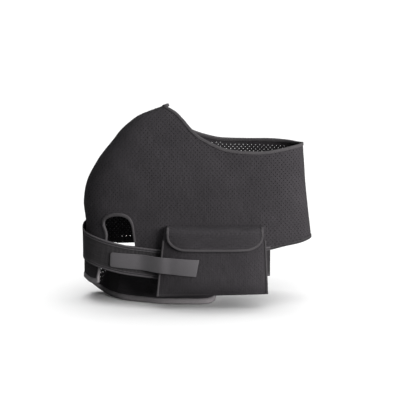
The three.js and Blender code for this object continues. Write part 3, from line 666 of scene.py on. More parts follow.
def loop_surface(side):
    heights = np.linspace(0.235 * PEAK_HEIGHT, PEAK_HEIGHT, 230)
    shares = np.linspace(0, 1, 261)
    points = wall(shares[None, :], side, heights[:, None])
    rise = np.hypot(np.diff(heights), 0.9 * np.diff(half_depth(heights)))
    surface = Surface(points, running(rise))
    surface.shift_lengths(share_across(np.zeros(len(heights)), heights) * (len(shares) - 1))
    surface.turn(points * np.array([1, 1, 0]) - np.array([0.1 * LOOP_WIDTH, 0, 0]))
    surface.heights, surface.shares = heights, shares
    return surface


def loop_flat(surface, share, height):
    return surface.flat(rank(height, surface.heights), rank(share, surface.shares))


arch_rows = numbered(ARCH_EDGE)
arch_across_share = curve_of(arch_rows, "step", "across")
arch_height_share = curve_of(arch_rows, "step", "height")


def arch_points(step):
    return wall_across(LOOP_WIDTH * arch_across_share(step), -1, PEAK_HEIGHT * arch_height_share(step))


def panel_outline(surface, side, seam=0.0005):
    """Flat outline of a half of the loop, with the arm cutout taken out of the front one."""
    top, bottom = EDGE_CURVES["top", side], EDGE_CURVES["bottom", side]
    shares = np.linspace(seam, 1 - seam, 190)
    low = [(s, PEAK_HEIGHT * float(bottom(s))) for s in shares]
    if side < 0:
        arch = arch_points(np.linspace(0, 1, 120))
        across = share_across(arch[:, 0], arch[:, 2])
        cut = [(s, z) for s, z in zip(across, arch[:, 2]) if z > PEAK_HEIGHT * front_bottom(s) + 0.3]
        room = 0.002
        before = [p for p in low if p[0] < cut[0][0] - room]
        low = before + cut + [p for p in low if p[0] > cut[-1][0] + room]
    ridge = [(1 - seam, z) for z in np.linspace(low[-1][1], PEAK_HEIGHT * float(top(1)), 80)[1:-1]]
    high = [(s, PEAK_HEIGHT * float(top(s))) for s in shares[::-1]]
    side_seam = [(seam, z) for z in np.linspace(high[-1][1], low[0][1], 60)[1:-1]]
    outline = np.array(low + ridge + high + side_seam)
    return loop_flat(surface, outline[:, 0], outline[:, 1])


def edge_of_loop(spans, which):
    """Points of the loop's edges over several (side, shares) spans, with hints into the sheet."""
    edges, hints, outs = [], [], []
    for side, shares in spans:
        height = PEAK_HEIGHT * EDGE_CURVES[which, side](shares)
        edge = wall(shares, side, height)
        inner = wall(shares, side, height + (HINT_REACH if which == "bottom" else -HINT_REACH))
        edges.append(edge)
        hints.append(inner - edge)
        outs.append(edge * np.array([0.2, 1, 0]) + np.array([0, side * 1e-3, 0]))
    return [np.concatenate(part) for part in (edges, hints, outs)]


def neck_stations():
    forth = np.linspace(0, 1, 170)
    edge, hint, out = edge_of_loop([(-1, forth), (1, forth[::-1][1:-1])], "top")
    return edge_stations(edge, hint, TAPE_LEG, out, closed=True)


def band_stations():
    front, back = BAND_TAPE_ENDS
    spans = [(-1, np.linspace(front, 0, 120)), (1, np.linspace(0, back, 140)[1:])]
    edge, hint, out = edge_of_loop(spans, "bottom")
    return edge_stations(edge, hint, TAPE_LEG, out)


def arch_stations():
    step = np.linspace(*ARCH_TAPE_ENDS, 120)
    edge = arch_points(step)
    wide = smooth(*ARCH_WIDENS, step) * (1 - smooth(*ARCH_NARROWS, step))
    leg = mix(ARCH_SIDE_LEG, ARCH_TOP_LEG, wide)[:, None]
    along = unit(arch_points(step + 0.01) - arch_points(step - 0.01))
    x, z = edge[:, 0], edge[:, 2]
    right = wall_across(x + 1, -1, z) - wall_across(x - 1, -1, z)
    up = wall_across(x, -1, z + 1) - wall_across(x, -1, z - 1)
    out = unit(np.cross(right, up))
    away = np.cross(along, out) * leg
    hint = wall_across(x + away[:, 0], -1, z + away[:, 2]) - edge
    return edge_stations(edge, hint, leg, out)


# The flap round the upper arm


def path_of(rows):
    across, away, height = [curve_of(rows, "turn", name) for name in ("across", "away", "height")]
    return lambda turn: np.stack([
        across(turn) * LOOP_WIDTH, away(turn) * LOOP_HALF_DEPTH, np.maximum(height(turn), 0) * PEAK_HEIGHT,
    ], axis=-1)


flap_free_top = path_of(FLAP_TOP)
flap_hem = path_of(FLAP_HEM)
SEWN_GAP = 0.12


def flap_top(turn):
    """Upper edge of the flap: sewn under the loop, then hanging free."""
    turn = np.asarray(turn, float)
    way = mix(FLAP_JOIN_FRONT - 1, 1 - FLAP_JOIN_BACK, np.clip(turn / FLAP_JOIN_TURN, 0, 1))
    share = 1 - np.abs(way)
    front = wall(share, -1, PEAK_HEIGHT * front_bottom(share) - SEWN_GAP)
    back = wall(share, 1, PEAK_HEIGHT * back_bottom(share) - SEWN_GAP)
    joined = np.where((way < 0)[..., None], front, back)
    free = FLAP_TOP[0]["turn"]
    step = np.clip((turn - FLAP_JOIN_TURN) / (free - FLAP_JOIN_TURN), 0, 1)[..., None]
    between = joined * (1 - step) + flap_free_top(np.full_like(turn, free)) * step
    return np.where((turn >= free)[..., None], flap_free_top(turn), between)


def flap_point(turn, drop):
    """Place on the flap: drop is 0 at its top, 1 at the upright hem strip and 2 at the hem."""
    turn, drop = floats(turn, drop)
    lift = CURVED_TAPE_ROOM + TAPE
    hem = flap_hem(turn) + np.array([0, 0, lift])
    strip = hem + np.array([0, 0, HEM_STRIP])
    top = flap_top(turn)
    part = np.clip(drop, 0, 1)[..., None]
    point = top * (1 - part) + strip * part
    out = unit((point - np.array([FLAP_CORE * LOOP_WIDTH, 0, 0])) * np.array([1, 1, 0]))
    bulge = FLAP_BULGE * LOOP_HALF_DEPTH * np.sin(math.pi * part[..., 0]) * (1 - turn)
    point = point + out * bulge[..., None]
    foot = np.clip(drop - 1, 0, 1)[..., None]
    return np.where(foot > 0, strip * (1 - foot) + hem * foot, point)


def flap_surface():
    turns = np.linspace(0, 1, 241)
    drops = np.concatenate([np.linspace(0, 1, 60), np.linspace(1, 2, 12)[1:]])[::-1]
    points = flap_point(turns[:, None], drops[None, :])
    middle = len(drops) // 2
    surface = Surface(points, lengths(points[:, middle]))
    surface.turns, surface.drops = turns, drops
    early = turns[:, None, None] < 0.35
    surface.turn(early * (points - np.array([FLAP_CORE * LOOP_WIDTH, 0, 0])) * np.array([1, 1, 0]))
    return surface


def flap_grid(surface, turn, drop):
    """Grid places of turns and drops."""
    return rank(turn, surface.turns), rank(-drop, -surface.drops)


# The strap round the arm opening


strap_height = curve_of(STRAP_LINE, "way", "height")
strap_lift = curve_of(STRAP_LINE, "way", "lift")
STRAP_SEAT = SHEET / 2 + GAP + STRAP_THICK / 2
STRAP_OVER_TAPE = SHEET / 2 + TAPE_ROOM + CAD_TAPE + GAP + STRAP_THICK / 2


def way_point(way):
    way = np.asarray(way, float)
    level = STRAP_PLAN_HEIGHT * PEAK_HEIGHT
    share = np.where(way <= 1, way, 2 - way)
    return np.where((way <= 1)[..., None], wall(share, -1, level), wall(share, 1, level))


def strap_place(way, further=0.0):
    way = np.asarray(way, float)
    near = 0.004
    along = way_point(way + near) - way_point(way - near)
    off = mix(STRAP_SEAT, STRAP_OVER_TAPE, strap_lift(way)) + further
    out = -unit(np.stack([along[..., 1], -along[..., 0], 0 * along[..., 0]], axis=-1))
    place = way_point(way) + out * off[..., None]
    place[..., 2] = strap_height(way) * PEAK_HEIGHT
    return place, out


def strap_stations():
    ways = np.linspace(STRAP_LINE[0]["way"], STRAP_LINE[-1]["way"], 260)
    place, out = strap_place(ways)
    rise = np.gradient(place[:, 2]) / np.linalg.norm(np.gradient(place[:, :2], axis=0), axis=1)
    up = np.zeros_like(place)
    up[:, 2] = np.hypot(1, rise)
    return [place, out, up, up * STRAP_WIDTH / 2]


def strap_section():
    """Section of woven elastic, and which of its sides are pale bands."""
    half = STRAP_THICK / 2
    high, low = half + 0.2, half - 0.3
    edge = [(-1, half * 0.4), (-0.985, high), (-0.875, high), (-0.86, low), (-0.83, low), (-0.815, high),
            (-0.765, high), (-0.75, half)]
    rows = edge + [(x, half) for x in np.linspace(-0.6, 0.6, 7)] + [(-x, out) for x, out in edge[::-1]]
    section = [(out, 0, across) for across, out in rows]
    section += [(-out, 0, across) for out, _, across in section[::-1]]
    middles = [abs(a[2] + b[2]) / 2 for a, b in zip(section, section[1:] + section[:1])]
    return section, [middle > 0.87 or 0.77 < middle < 0.81 for middle in middles]


# The pocket and its lid


POCKET_TAPE_OUT = POCKET_SHEET + GAP / 2 + GAP + POCKET_TAPE_ROOM + CAD_TAPE
POCKET_MIDDLE = -(LOOP_HALF_DEPTH + STRAP_OVER_TAPE + STRAP_THICK / 2 + GAP + POCKET_TAPE_OUT)
SEAM_LEVEL = LID_SEAM_HEIGHT * PEAK_HEIGHT
POCKET_FOOT_LEVEL = SEAM_LEVEL - POCKET_DROP
POCKET_MOUTH_LEVEL = SEAM_LEVEL - POCKET_MOUTH_DROP
POCKET_BACK_LEVEL = SEAM_LEVEL - POCKET_SHEET / 2 - TAPE_ROOM
SHEETS_APART = (POCKET_SHEET + GAP) / 2


def pocket_fall(level):
    """How far down the pocket a level lies: 0 at its mouth and 1 at its foot."""
    return (POCKET_MOUTH_LEVEL - level) / (POCKET_MOUTH_LEVEL - POCKET_FOOT_LEVEL)


def pocket_across(across, level):
    fall = pocket_fall(level)
    middle = LOOP_WIDTH * mix(POCKET_TOP_MIDDLE, POCKET_FOOT_MIDDLE, fall)
    return middle + (across - 0.5) * mix(POCKET_TOP_WIDTH, POCKET_FOOT_WIDTH, fall)


def pocket_rise(across, level):
    """The foot rises towards the right."""
    return POCKET_FOOT_RISE * across * np.maximum(pocket_fall(level), 0)


def pocket_bulge(across, level):
    fall = pocket_fall(level)
    sideways = 1 - np.abs(2 * across - 1) ** 3
    upper = mix(MOUTH_BULGE, 1, np.sin(math.pi * np.clip(fall, 0, 0.5)))
    belly = np.where(fall < 0.5, upper, 1 - (2 * fall - 1) ** 4)
    return POCKET_BULGE * sideways * belly


def pocket_front_point(across, level):
    across, level = floats(across, level)
    away = POCKET_MIDDLE - SHEETS_APART - pocket_bulge(across, level)
    return np.stack([pocket_across(across, level), away, level + pocket_rise(across, level)], axis=-1)


def pocket_back_point(across, level):
    across, level = floats(across, level)
    fall = (POCKET_BACK_LEVEL - level) / (POCKET_BACK_LEVEL - POCKET_FOOT_LEVEL)
    x = pocket_across(across, level)
    seat = wall_across(x, -1, level)[..., 1] - SHEET / 2 - GAP - POCKET_SHEET / 2
    share = np.minimum(fall, POCKET_LEAN) / POCKET_LEAN
    turn = np.where(fall < POCKET_LEAN, (1 - np.cos(math.pi * share)) / 2, 1)
    away = mix(seat, POCKET_MIDDLE + SHEETS_APART, turn)
    return np.stack([x, away, level + pocket_rise(across, level)], axis=-1)


def upright_surface(point_at, top, rows=90, columns=120):
    """Surface of a pocket sheet: rows are levels from the foot up, columns run from left to right."""
    levels = np.linspace(POCKET_FOOT_LEVEL, top, rows)
    points = point_at(np.linspace(0, 1, columns)[None, :], levels[:, None])
    surface = Surface(points, lengths(points[:, columns // 2]))
    surface.shift_lengths(np.full(rows, (columns - 1) / 2))
    surface.turn([0, -1, 0])
    return surface


def pocket_tape_stations(across):
    level = np.linspace(POCKET_FOOT_LEVEL + 0.5, mix(POCKET_FOOT_LEVEL, POCKET_MOUTH_LEVEL, 8 / 9), 60)
    height = level + pocket_rise(across, level)
    edge = np.stack([pocket_across(across, level), 0 * level + POCKET_MIDDLE, height], axis=1)
    inward = np.full_like(edge, (1 - 2 * across, 0, 0))
    return [edge, np.full_like(edge, (0, -1, 0)), inward, inward * POCKET_LEG]


def lid_front_away(x, level):
    left, right = pocket_across(0, level), pocket_across(1, level)
    across = np.clip((x - left) / (right - left), 0, 1)
    over_pocket = POCKET_MIDDLE - SHEETS_APART - pocket_bulge(across, level) - POCKET_SHEET - LID_CLEAR
    over_tape = POCKET_MIDDLE - POCKET_TAPE_OUT - GAP - CAD_TAPE - GAP - POCKET_SHEET / 2
    return np.minimum(over_pocket, over_tape)


def lid_reach(across):
    corner = np.minimum(np.minimum(across, 1 - across) / LID_CORNER_SHARE, 1)
    return mix(LID_CORNER_START, 1, np.sqrt(1 - (1 - corner) ** 2))


def lid_point(across, roll, fall):
    across, roll, fall = floats(across, roll, fall)
    x = LID_MIDDLE * LOOP_WIDTH + (across - 0.5) * LID_WIDTH
    seat = wall_across(x, -1, np.full_like(x, SEAM_LEVEL))[..., 1] - SHEET / 2 - GAP
    roll_end = SEAM_LEVEL - LID_ROLL_DROP
    angle = math.pi / 2 * roll
    away = mix(seat, lid_front_away(x, np.full_like(x, roll_end)), np.sin(angle))
    rolled = np.stack([x, away, SEAM_LEVEL - LID_ROLL_DROP * (1 - np.cos(angle))], axis=-1)
    level = roll_end - (LID_DROP - LID_ROLL_DROP) * fall * lid_reach(across)
    fallen = np.stack([x, lid_front_away(x, level), level], axis=-1)
    return np.where((fall > 0)[..., None], fallen, rolled)


def lid_surface():
    across = np.linspace(0, 1, 150)
    roll = np.concatenate([np.linspace(0, 1, 16), np.ones(30)])
    fall = np.concatenate([np.zeros(16), np.linspace(0, 1, 31)[1:]])
    points = lid_point(across[:, None], roll[None, :], fall[None, :])
    surface = Surface(points, (across - 0.5) * LID_WIDTH)
    surface.turn([0, -1, 0.3])
    return surface


def lid_stations(surface):
    start = 5

    def path(grid):
        return np.concatenate([grid[0, start:-1], grid[:, -1], grid[-1, start:-1][::-1]])

    edge, normal = path(surface.points), path(surface.normals)
    length = lengths(edge)
    at = np.linspace(0, length[-1], 220)
    edge, normal = sampled(at, length, edge), unit(sampled(at, length, normal))
    middle = lid_point(0.5, 1.0, 0.2)
    return edge_stations(edge, middle - edge, LID_LEG, normal)


def flap_stations(surface):
    """Stations down the flap's front edge, along its hem and up its free end, mitred at both corners."""
    clear = 1.2

    def at(turn, drop):
        return surface.at(*flap_grid(surface, *np.broadcast_arrays(turn, drop)))

    def run(turn, drop, inner_turn, inner_drop, leg):
        edge, normal = at(turn, drop)
        inward = unit(at(inner_turn, inner_drop)[0] - edge)
        return [edge, normal, inward, inward * leg]

    def corner(turn, aside, up):
        return [*at([turn], 2.0), (aside + up)[None], (aside * FLAP_LEG + up * HEM_LEG)[None]]

    down = np.linspace(0.12, 2 - (HEM_LEG + clear) / HEM_STRIP, 50)
    step = (FLAP_LEG + clear) / surface.rows[-1]
    along = np.linspace(step, 1 - step, 260)
    first = run(0.0, down, 0.004, down, FLAP_LEG)
    hem = run(along, 2.0, along, 1.9, HEM_LEG)
    last = run(1.0, down[::-1], 0.996, down[::-1], FLAP_LEG)
    before, after = corner(0.0, first[2][-1], hem[2][0]), corner(1.0, last[2][0], hem[2][-1])
    return [np.concatenate(parts) for parts in zip(first, before, hem, after, last)]


# The smooth tab, bent over the strap and the pocket's edge


def tab_line():
    seat = (STRAP_THICK + TAB_THICK + TAPE_ROOM) / 2 + GAP / 4
    middle = PEAK_HEIGHT * (TAB_START_HEIGHT + TAB_END_HEIGHT) / 2
    on_strap, _ = strap_place(np.array(TAB_ON_STRAP), seat)
    edge_place = [pocket_across(0, middle) - GAP, POCKET_MIDDLE - POCKET_TAPE_OUT - 2 * TAB_THICK, 0]
    on_pocket = pocket_front_point(np.array(TAB_ON_POCKET), middle)
    on_pocket[:, 1] -= POCKET_SHEET / 2 + TAB_THICK
    knots = np.concatenate([on_strap, [edge_place], on_pocket])
    knots[:, 2] = 0
    chord = running(np.linalg.norm(np.diff(knots, axis=0), axis=1) ** 0.5)
    rows = [{"chord": c, "x": p[0], "y": p[1]} for c, p in zip(chord, knots)]
    fine = np.linspace(0, chord[-1], 90)
    line = np.stack([curve_of(rows, "chord", "x")(fine), curve_of(rows, "chord", "y")(fine)], axis=1)
    for _ in range(TAB_SMOOTHING):
        line[1:-1] = (line[:-2] + 2 * line[1:-1] + line[2:]) / 4
    length = lengths(line)
    height = PEAK_HEIGHT * mix(TAB_START_HEIGHT, TAB_END_HEIGHT, length / length[-1])
    return np.column_stack([line, height]), length[-1]


def select_where(obj, test):
    """In edit mode, selects the vertices whose places pass a test."""
    bpy.ops.mesh.select_all(action="DESELECT")
    bpy.ops.object.mode_set(mode="OBJECT")
    for vertex in obj.data.vertices:
        vertex.select = bool(test(vertex.co))
    bpy.ops.object.mode_set(mode="EDIT")
    bpy.ops.mesh.select_mode(type="VERT")


def modify(obj, name, kind, **settings):
    modifier = obj.modifiers.new(name, kind)
    for setting, value in settings.items():
        setattr(modifier, setting, value)


def flat_tab(size):
    """Flat strip that widens to its end, with round corners, a slanted end and cuts across to bend it at."""
    bpy.ops.object.select_all(action="DESELECT")
    bpy.ops.mesh.primitive_plane_add(size=1, location=(0, 0, 0), rotation=(math.pi / 2, 0, 0))
    tab = bpy.context.object
    tab.name = "smooth_tab"
    tab.scale = (size, TAB_END_WIDTH * MM, 1)
    bpy.ops.object.transform_apply(location=True, rotation=True, scale=True)
    bpy.ops.object.mode_set(mode="EDIT")
    bpy.ops.mesh.select_mode(type="VERT")
    select_where(tab, lambda co: co.x < 0)
    bpy.ops.transform.resize(value=(1, 1, TAB_START_WIDTH / TAB_END_WIDTH))
    bpy.ops.mesh.bevel(offset=TAB_START_CORNER * MM, segments=6, affect="VERTICES")
    select_where(tab, lambda co: co.x > 0)
    bpy.ops.mesh.bevel(offset=TAB_END_CORNER * MM, segments=3, affect="VERTICES")
    select_where(tab, lambda co: co.x > 0.4 * size and co.z < 0)
    bpy.ops.transform.translate(value=(-TAB_SLANT * MM, 0, 0))
    for place in size * (np.arange(1, TAB_CUTS) / TAB_CUTS - 0.5):
        if abs(place) <= size / 2 - TAB_UNCUT * MM:
            bpy.ops.mesh.select_all(action="SELECT")
            bpy.ops.mesh.bisect(plane_co=(place, 0, 0), plane_no=(1, 0, 0))
    bpy.ops.mesh.select_all(action="SELECT")
    bpy.ops.transform.translate(value=(size / 2, 0, 0))
    bpy.ops.object.mode_set(mode="OBJECT")
    return tab


def tab_guide(line):
    path = bpy.data.curves.new("tab_path", "CURVE")
    path.dimensions = "3D"
    path.twist_mode = "Z_UP"
    spline = path.splines.new("POLY")
    spline.points.add(len(line) - 1)
    for point, place in zip(spline.points, placed(line)):
        point.co = (*place, 1)
    return new_object("tab_guide", path)


def make_tab():
    line, length = tab_line()
    tab = flat_tab(length * MM)
    modify(tab, "thickness", "SOLIDIFY", thickness=TAB_THICK * MM, offset=0)
    sharp = math.radians(50)
    modify(tab, "rim", "BEVEL", width=TAB_RIM * MM, segments=3, limit_method="ANGLE", angle_limit=sharp)
    guide = tab_guide(line)
    modify(tab, "bend", "CURVE", object=guide, deform_axis="POS_X")
    bpy.context.view_layer.objects.active = tab
    for modifier in ("thickness", "rim", "bend"):
        bpy.ops.object.modifier_apply(modifier=modifier)
    bpy.data.objects.remove(guide)
    bpy.ops.object.shade_smooth_by_angle(angle=math.radians(40))
    return tab


# Finishes


TURN = 2 * math.pi


def node(tree, kind, sockets=None, **settings):
    """Shader node with its settings, each socket set to a value or linked to another node's socket."""
    made = tree.nodes.new("ShaderNode" + kind)
    for name, value in settings.items():
        setattr(made, name, value)
    for name, value in (sockets or {}).items():
        if isinstance(value, bpy.types.NodeSocket):
            tree.links.new(value, made.inputs[name])
        else:
            made.inputs[name].default_value = value
    return made


def noise(tree, place, scale, detail=2.0):
    return node(tree, "TexNoise", {"Vector": place, "Scale": scale, "Detail": detail}).outputs["Fac"]


def spread(tree, value, low, high, source=(0.0, 1.0), **settings):
    """A value carried from one range to another."""
    ends = {"From Min": source[0], "From Max": source[1], "To Min": low, "To Max": high}
    return node(tree, "MapRange", {"Value": value, **ends}, **settings).outputs["Result"]


def mixed(tree, share, first, second):
    return node(tree, "Mix", {"Factor": share, "A": first, "B": second}, data_type="RGBA").outputs["Result"]


class Field:
    """A number in a node tree. Sums, products and functions of it become math nodes."""

    def __init__(self, tree, socket):
        self.tree, self.socket = tree, socket

    def by(self, operation, other=None):
        sockets = {0: self.socket}
        if other is not None:
            sockets[1] = other.socket if isinstance(other, Field) else other
        return Field(self.tree, node(self.tree, "Math", sockets, operation=operation).outputs[0])

    def __add__(self, other):
        return self.by("ADD", other)

    def __mul__(self, other):
        return self.by("MULTIPLY", other)


def new_group(name, inputs, outputs):
    """Node group with its sockets, each given as a word of label:kind."""
    group = bpy.data.node_groups.new(name, "ShaderNodeTree")
    for words, way in ((inputs, "INPUT"), (outputs, "OUTPUT")):
        for word in words.split():
            label, kind = word.split(":")
            group.interface.new_socket(name=label, in_out=way, socket_type="NodeSocket" + kind)
    return group, group.nodes.new("NodeGroupInput").outputs, group.nodes.new("NodeGroupOutput").inputs


def relief_group(name, first, second, height):
    """Node group for the height of a cloth's threads, from two counts of them per metre."""
    group, start, end = new_group(name, f"Vector:Vector {first}:Float {second}:Float", "Height:Float")
    parts = node(group, "SeparateXYZ", {0: start["Vector"]}).outputs
    across = Field(group, parts[0]) * Field(group, start[first])
    along = Field(group, parts[1]) * Field(group, start[second])
    group.links.new(height(group, start["Vector"], across, along).socket, end["Height"])
    return group


def knit_height(group, place, column, course):
    """Fine knit: columns of stitches crossed by courses, with some fuzz."""
    shift = (column * TURN).by("SINE") * 0.22
    wave = ((course + shift) * TURN).by("SINE")
    rib = (column * (TURN / 2)).by("SINE").by("ABSOLUTE")
    return wave * 0.35 + rib + Field(group, noise(group, place, 2600.0)) * 0.5


def woven_height(group, place, ribs, warps):
    """Ribs across a woven tape or elastic, with fine warp threads along it."""
    rib = (ribs * TURN).by("SINE")
    return rib + rib * (warps * TURN).by("SINE") * 0.5


def tone_group():
    """Uneven dye, fading and lint on cloth: a colour, and a mask of the paler fibres."""
    inputs = "Vector:Vector Deep:Color Pale:Color Lint:Color"
    group, start, end = new_group("cloth_tone", inputs, "Color:Color Fibres:Float")
    broad, fine = (Field(group, noise(group, start["Vector"], scale, 3.0)) for scale in (14.0, 420.0))
    specks = node(group, "TexVoronoi", {"Vector": start["Vector"], "Scale": 240.0}).outputs["Distance"]
    share = broad * 0.55 + fine * 0.45
    dyed = mixed(group, spread(group, share.socket, 0.0, 1.0, (0.32, 0.68)), start["Deep"], start["Pale"])
    rare = Field(group, specks).by("LESS_THAN", 0.07) * broad.by("GREATER_THAN", 0.56)
    group.links.new(mixed(group, (rare * 0.35).socket, dyed, start["Lint"]), end["Color"])
    group.links.new(share.socket, end["Fibres"])
    return group


KNIT = relief_group("knit_relief", "Columns", "Courses", knit_height)
WOVEN = relief_group("woven_relief", "Ribs", "Warps", woven_height)
TONE = tone_group()


def streaked(tree, place, colour, amount, pace):
    """Colour varied by the wales of the knit, or by a ribbon's warps, as fine uneven streaks."""
    stretch = node(tree, "VectorMath", {0: place, 1: (*pace, 0.0)}, operation="MULTIPLY")
    amounts = spread(tree, noise(tree, stretch.outputs[0], 1.0), 1 - amount, 1 + amount, (0.3, 0.7))
    return node(tree, "VectorMath", {0: colour, "Scale": amounts}, operation="SCALE").outputs[0]


def new_material(name, specular):
    material = bpy.data.materials.new(name)
    material.use_nodes = True
    shader = material.node_tree.nodes["Principled BSDF"].inputs
    shader["Specular IOR Level"].default_value = specular
    return material, material.node_tree, shader


def toned(name, colours, specular):
    """New material coloured by uneven dye, with its tree, the shader's sockets, the places and the tone."""
    material, tree, shader = new_material(name, specular)
    place = node(tree, "TexCoord").outputs
    dyes = {label: (*colour, 1) for label, colour in zip(("Deep", "Pale", "Lint"), colours)}
    tone = node(tree, "Group", {"Vector": place["Object"], **dyes}, node_tree=TONE).outputs
    tree.links.new(tone["Color"], shader["Base Color"])
    return material, tree, shader, place, tone


def roughen(tree, shader, rub, roughness, height, strength, depth):
    """Roughness that follows one field, and a bump from another."""
    tree.links.new(spread(tree, rub, *roughness), shader["Roughness"])
    bump = node(tree, "Bump", {"Height": height, "Strength": strength, "Distance": depth})
    tree.links.new(bump.outputs["Normal"], shader["Normal"])


def finish(name, deep, pale, lint, roughness, relief, counts, depth, strength, specular=0.15, streaks=0.0,
           pace=(620.0, 45.0), uses_uv=True):
    """Cloth-like finish: toned colour, roughness that follows the fibres, and a woven or knitted bump."""
    material, tree, shader, place, tone = toned(name, (deep, pale, lint), specular)
    if streaks:
        tree.links.new(streaked(tree, place["UV"], tone["Color"], streaks, pace), shader["Base Color"])
    sockets = {0: place["UV" if uses_uv else "Object"], 1: counts[0], 2: counts[1]}
    weave = node(tree, "Group", sockets, node_tree=relief).outputs["Height"]
    roughen(tree, shader, tone["Fibres"], roughness, weave, strength, depth)
    return material


def tab_material():
    """Smooth moulded rubber with a faint grain and rubbed, paler patches."""
    colours = (0.042, 0.0405, 0.0435), (0.056, 0.054, 0.058), (0.07, 0.068, 0.07)
    material, tree, shader, place, _ = toned("tab_rubber", colours, 0.5)
    grain, rub = noise(tree, place["Object"], 1500.0, 4.0), noise(tree, place["Object"], 60.0)
    roughen(tree, shader, rub, (0.34, 0.5), grain, 0.25, 0.00015)
    return material


NEOPRENE = finish("perforated_neoprene", (0.01296, 0.01222, 0.01361), (0.02148, 0.02017, 0.0223),
                  (0.0738, 0.07052, 0.0738), (0.82, 0.95), KNIT, (700.0, 900.0), 0.0003, 0.7, 0.12, 0.2)
# Pale finish for the walls of the holes cut through the back panel: painted light, standing in for the light
# that shows through the holes.
PAINTED_HOLE_LIGHT = finish("hole_walls_painted_light", (0.15, 0.147, 0.15), (0.2, 0.196, 0.2), (0.24, 0.236, 0.24), (0.85, 0.95),
              KNIT, (1400.0, 1400.0), 0.0001, 0.4, 0.1)
TAPE_CLOTH = finish("binding_tape", (0.0223, 0.02132, 0.02271), (0.03346, 0.03198, 0.03403),
                    (0.0902, 0.0861, 0.0902), (0.6, 0.8), WOVEN, (620.0, 1400.0), 0.00025, 0.6)
HEM_CLOTH = finish("hem_tape", (0.11, 0.106, 0.11), (0.15, 0.145, 0.151), (0.22, 0.213, 0.22), (0.6, 0.8),
                   WOVEN, (620.0, 1400.0), 0.00025, 0.6)
ELASTIC = finish("woven_elastic", (0.01162, 0.0111, 0.012), (0.0189, 0.018, 0.0195), (0.075, 0.07125, 0.075),
                 (0.58, 0.78), WOVEN, (420.0, 1100.0), 0.0004, 0.8, streaks=0.25, pace=(30.0, 520.0))
SELVEDGE = finish("woven_selvedge", (0.034, 0.0325, 0.035), (0.05, 0.048, 0.0515), (0.11, 0.105, 0.11),
                  (0.58, 0.75), WOVEN, (420.0, 1100.0), 0.0003, 0.6)
PATCH_CLOTH = finish("brushed_patch", (0.009, 0.0087, 0.0092), (0.015, 0.0145, 0.0155), (0.06, 0.058, 0.06),
                     (0.85, 0.95), KNIT, (1400.0, 1400.0), 0.0002, 0.5, 0.1)
THREAD = finish("sewing_thread", (0.022, 0.021, 0.0225), (0.034, 0.0325, 0.0348), (0.08, 0.077, 0.08),
                (0.5, 0.65), WOVEN, (1500.0, 900.0), 0.0001, 0.4, 0.3, uses_uv=False)
TAB_RUBBER = tab_material()


def dress(obj, material, slot, *nodes, second_finish=None):
    """Gives a piece its finish and its body, and hides the CAD parts of the nodes that it stands for; the
    slot argument is not used.
    """
    inner = [k for k, face in enumerate(obj.data.polygons) if face.material_index == 1] if second_finish else []
    obj.data.materials.clear()
    obj.data.materials.append(material)
    if second_finish:
        obj.data.materials.append(second_finish)
    for k in inner:
        obj.data.polygons[k].material_index = 1
    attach(obj, "root")
    if nodes:
        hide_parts(*nodes)
    return obj


# The pieces


def flat_size(outline):
    """Width, length and area of a flat outline, in metres."""
    low, high = outline.min(axis=0), outline.max(axis=0)
    nxt = np.roll(outline, -1, axis=0)
    area = abs((outline[:, 0] * nxt[:, 1] - outline[:, 1] * nxt[:, 0]).sum()) / 2
    return ((high[0] - low[0]) * MM, (high[1] - low[1]) * MM), area * MM * MM


def taped(name, stations, half, room, node_name, material=TAPE_CLOTH, closed=False, **threads):
    """Folded tape along stations, with its stitches."""
    tape = sweep(name, stations, folded(half, room), closed)
    dress(tape, material, "edge_tape", node_name)
    rows = tape_threads(name + "_stitches", stations, half, room, closed=closed, **threads)
    return [tape, dress(rows, THREAD, "edge_tape")]


def sewn(name, *row, **sizes):
    """Stitches in sewing thread."""
    return dress(stitches(name, *row, **sizes), THREAD, "edge_tape")


def zigzag(count, way):
    """A way that turns to and fro from one stitch to the next."""
    return np.where(np.arange(count) % 2 == 0, 1, -1)[:, None] * way


def make_loop():
    made = {}
    for side, name in ((-1, "front_panel"), (1, "back_panel")):
        surface = loop_surface(side)
        outline = panel_outline(surface, side)
        margin = RIM_MARGIN if side > 0 else HOLE_MARGIN
        panel = perforated(name + "_neoprene", surface, outline, SHEET, margin, through=side > 0)
        # The back panel's hole walls take the pale finish, painted light in place of the light seen through
        # its holes.
        dress(panel, NEOPRENE, "body_cloth", name, second_finish=PAINTED_HOLE_LIGHT if side > 0 else None)
        made[name] = (panel, outline)
    neck = taped("neck_tape", neck_stations(), SHEET / 2, TAPE_ROOM / 2, "neck_binding", closed=True)
    band = taped("band_tape", band_stations(), SHEET / 2, TAPE_ROOM / 2, "band_binding", ELASTIC)
    arch = taped("arch_tape", arch_stations(), SHEET / 2, TAPE_ROOM, "arch_binding")
    seams = make_seams()
    for name, (panel, outline) in made.items():
        flat, area = flat_size(outline)
        going = arch + band if name == "front_panel" else neck + seams


def seam_threads(name, heights, share):
    """Stitches across the joint between the two halves, from one edge to the other."""
    places = wall(np.full_like(heights, share), -1, heights)
    out = np.full_like(places, (1 - 2 * share, 0, 0))
    slope = unit(np.gradient(places, axis=0))
    out = unit(out - (out * slope).sum(axis=1, keepdims=True) * slope)
    ways = unit(unit(np.cross(out, slope)) + 0.7 * zigzag(len(heights), slope))
    return sewn(name, places + out * (SHEET / 2 + THREAD_LIFT), out, ways, length=4.2, radius=0.3)


def make_seams():
    made = []
    for name, share, row in (("side_seam_stitches", 0.0, 0), ("ridge_seam_stitches", 1.0, -1)):
        low, high = FRONT_EDGES[row]["bottom"], FRONT_EDGES[row]["top"]
        heights = np.arange(low * PEAK_HEIGHT + SEAM_ENDS, high * PEAK_HEIGHT - SEAM_ENDS, SEAM_PITCH)
        made.append(seam_threads(name, heights, share))
    return made


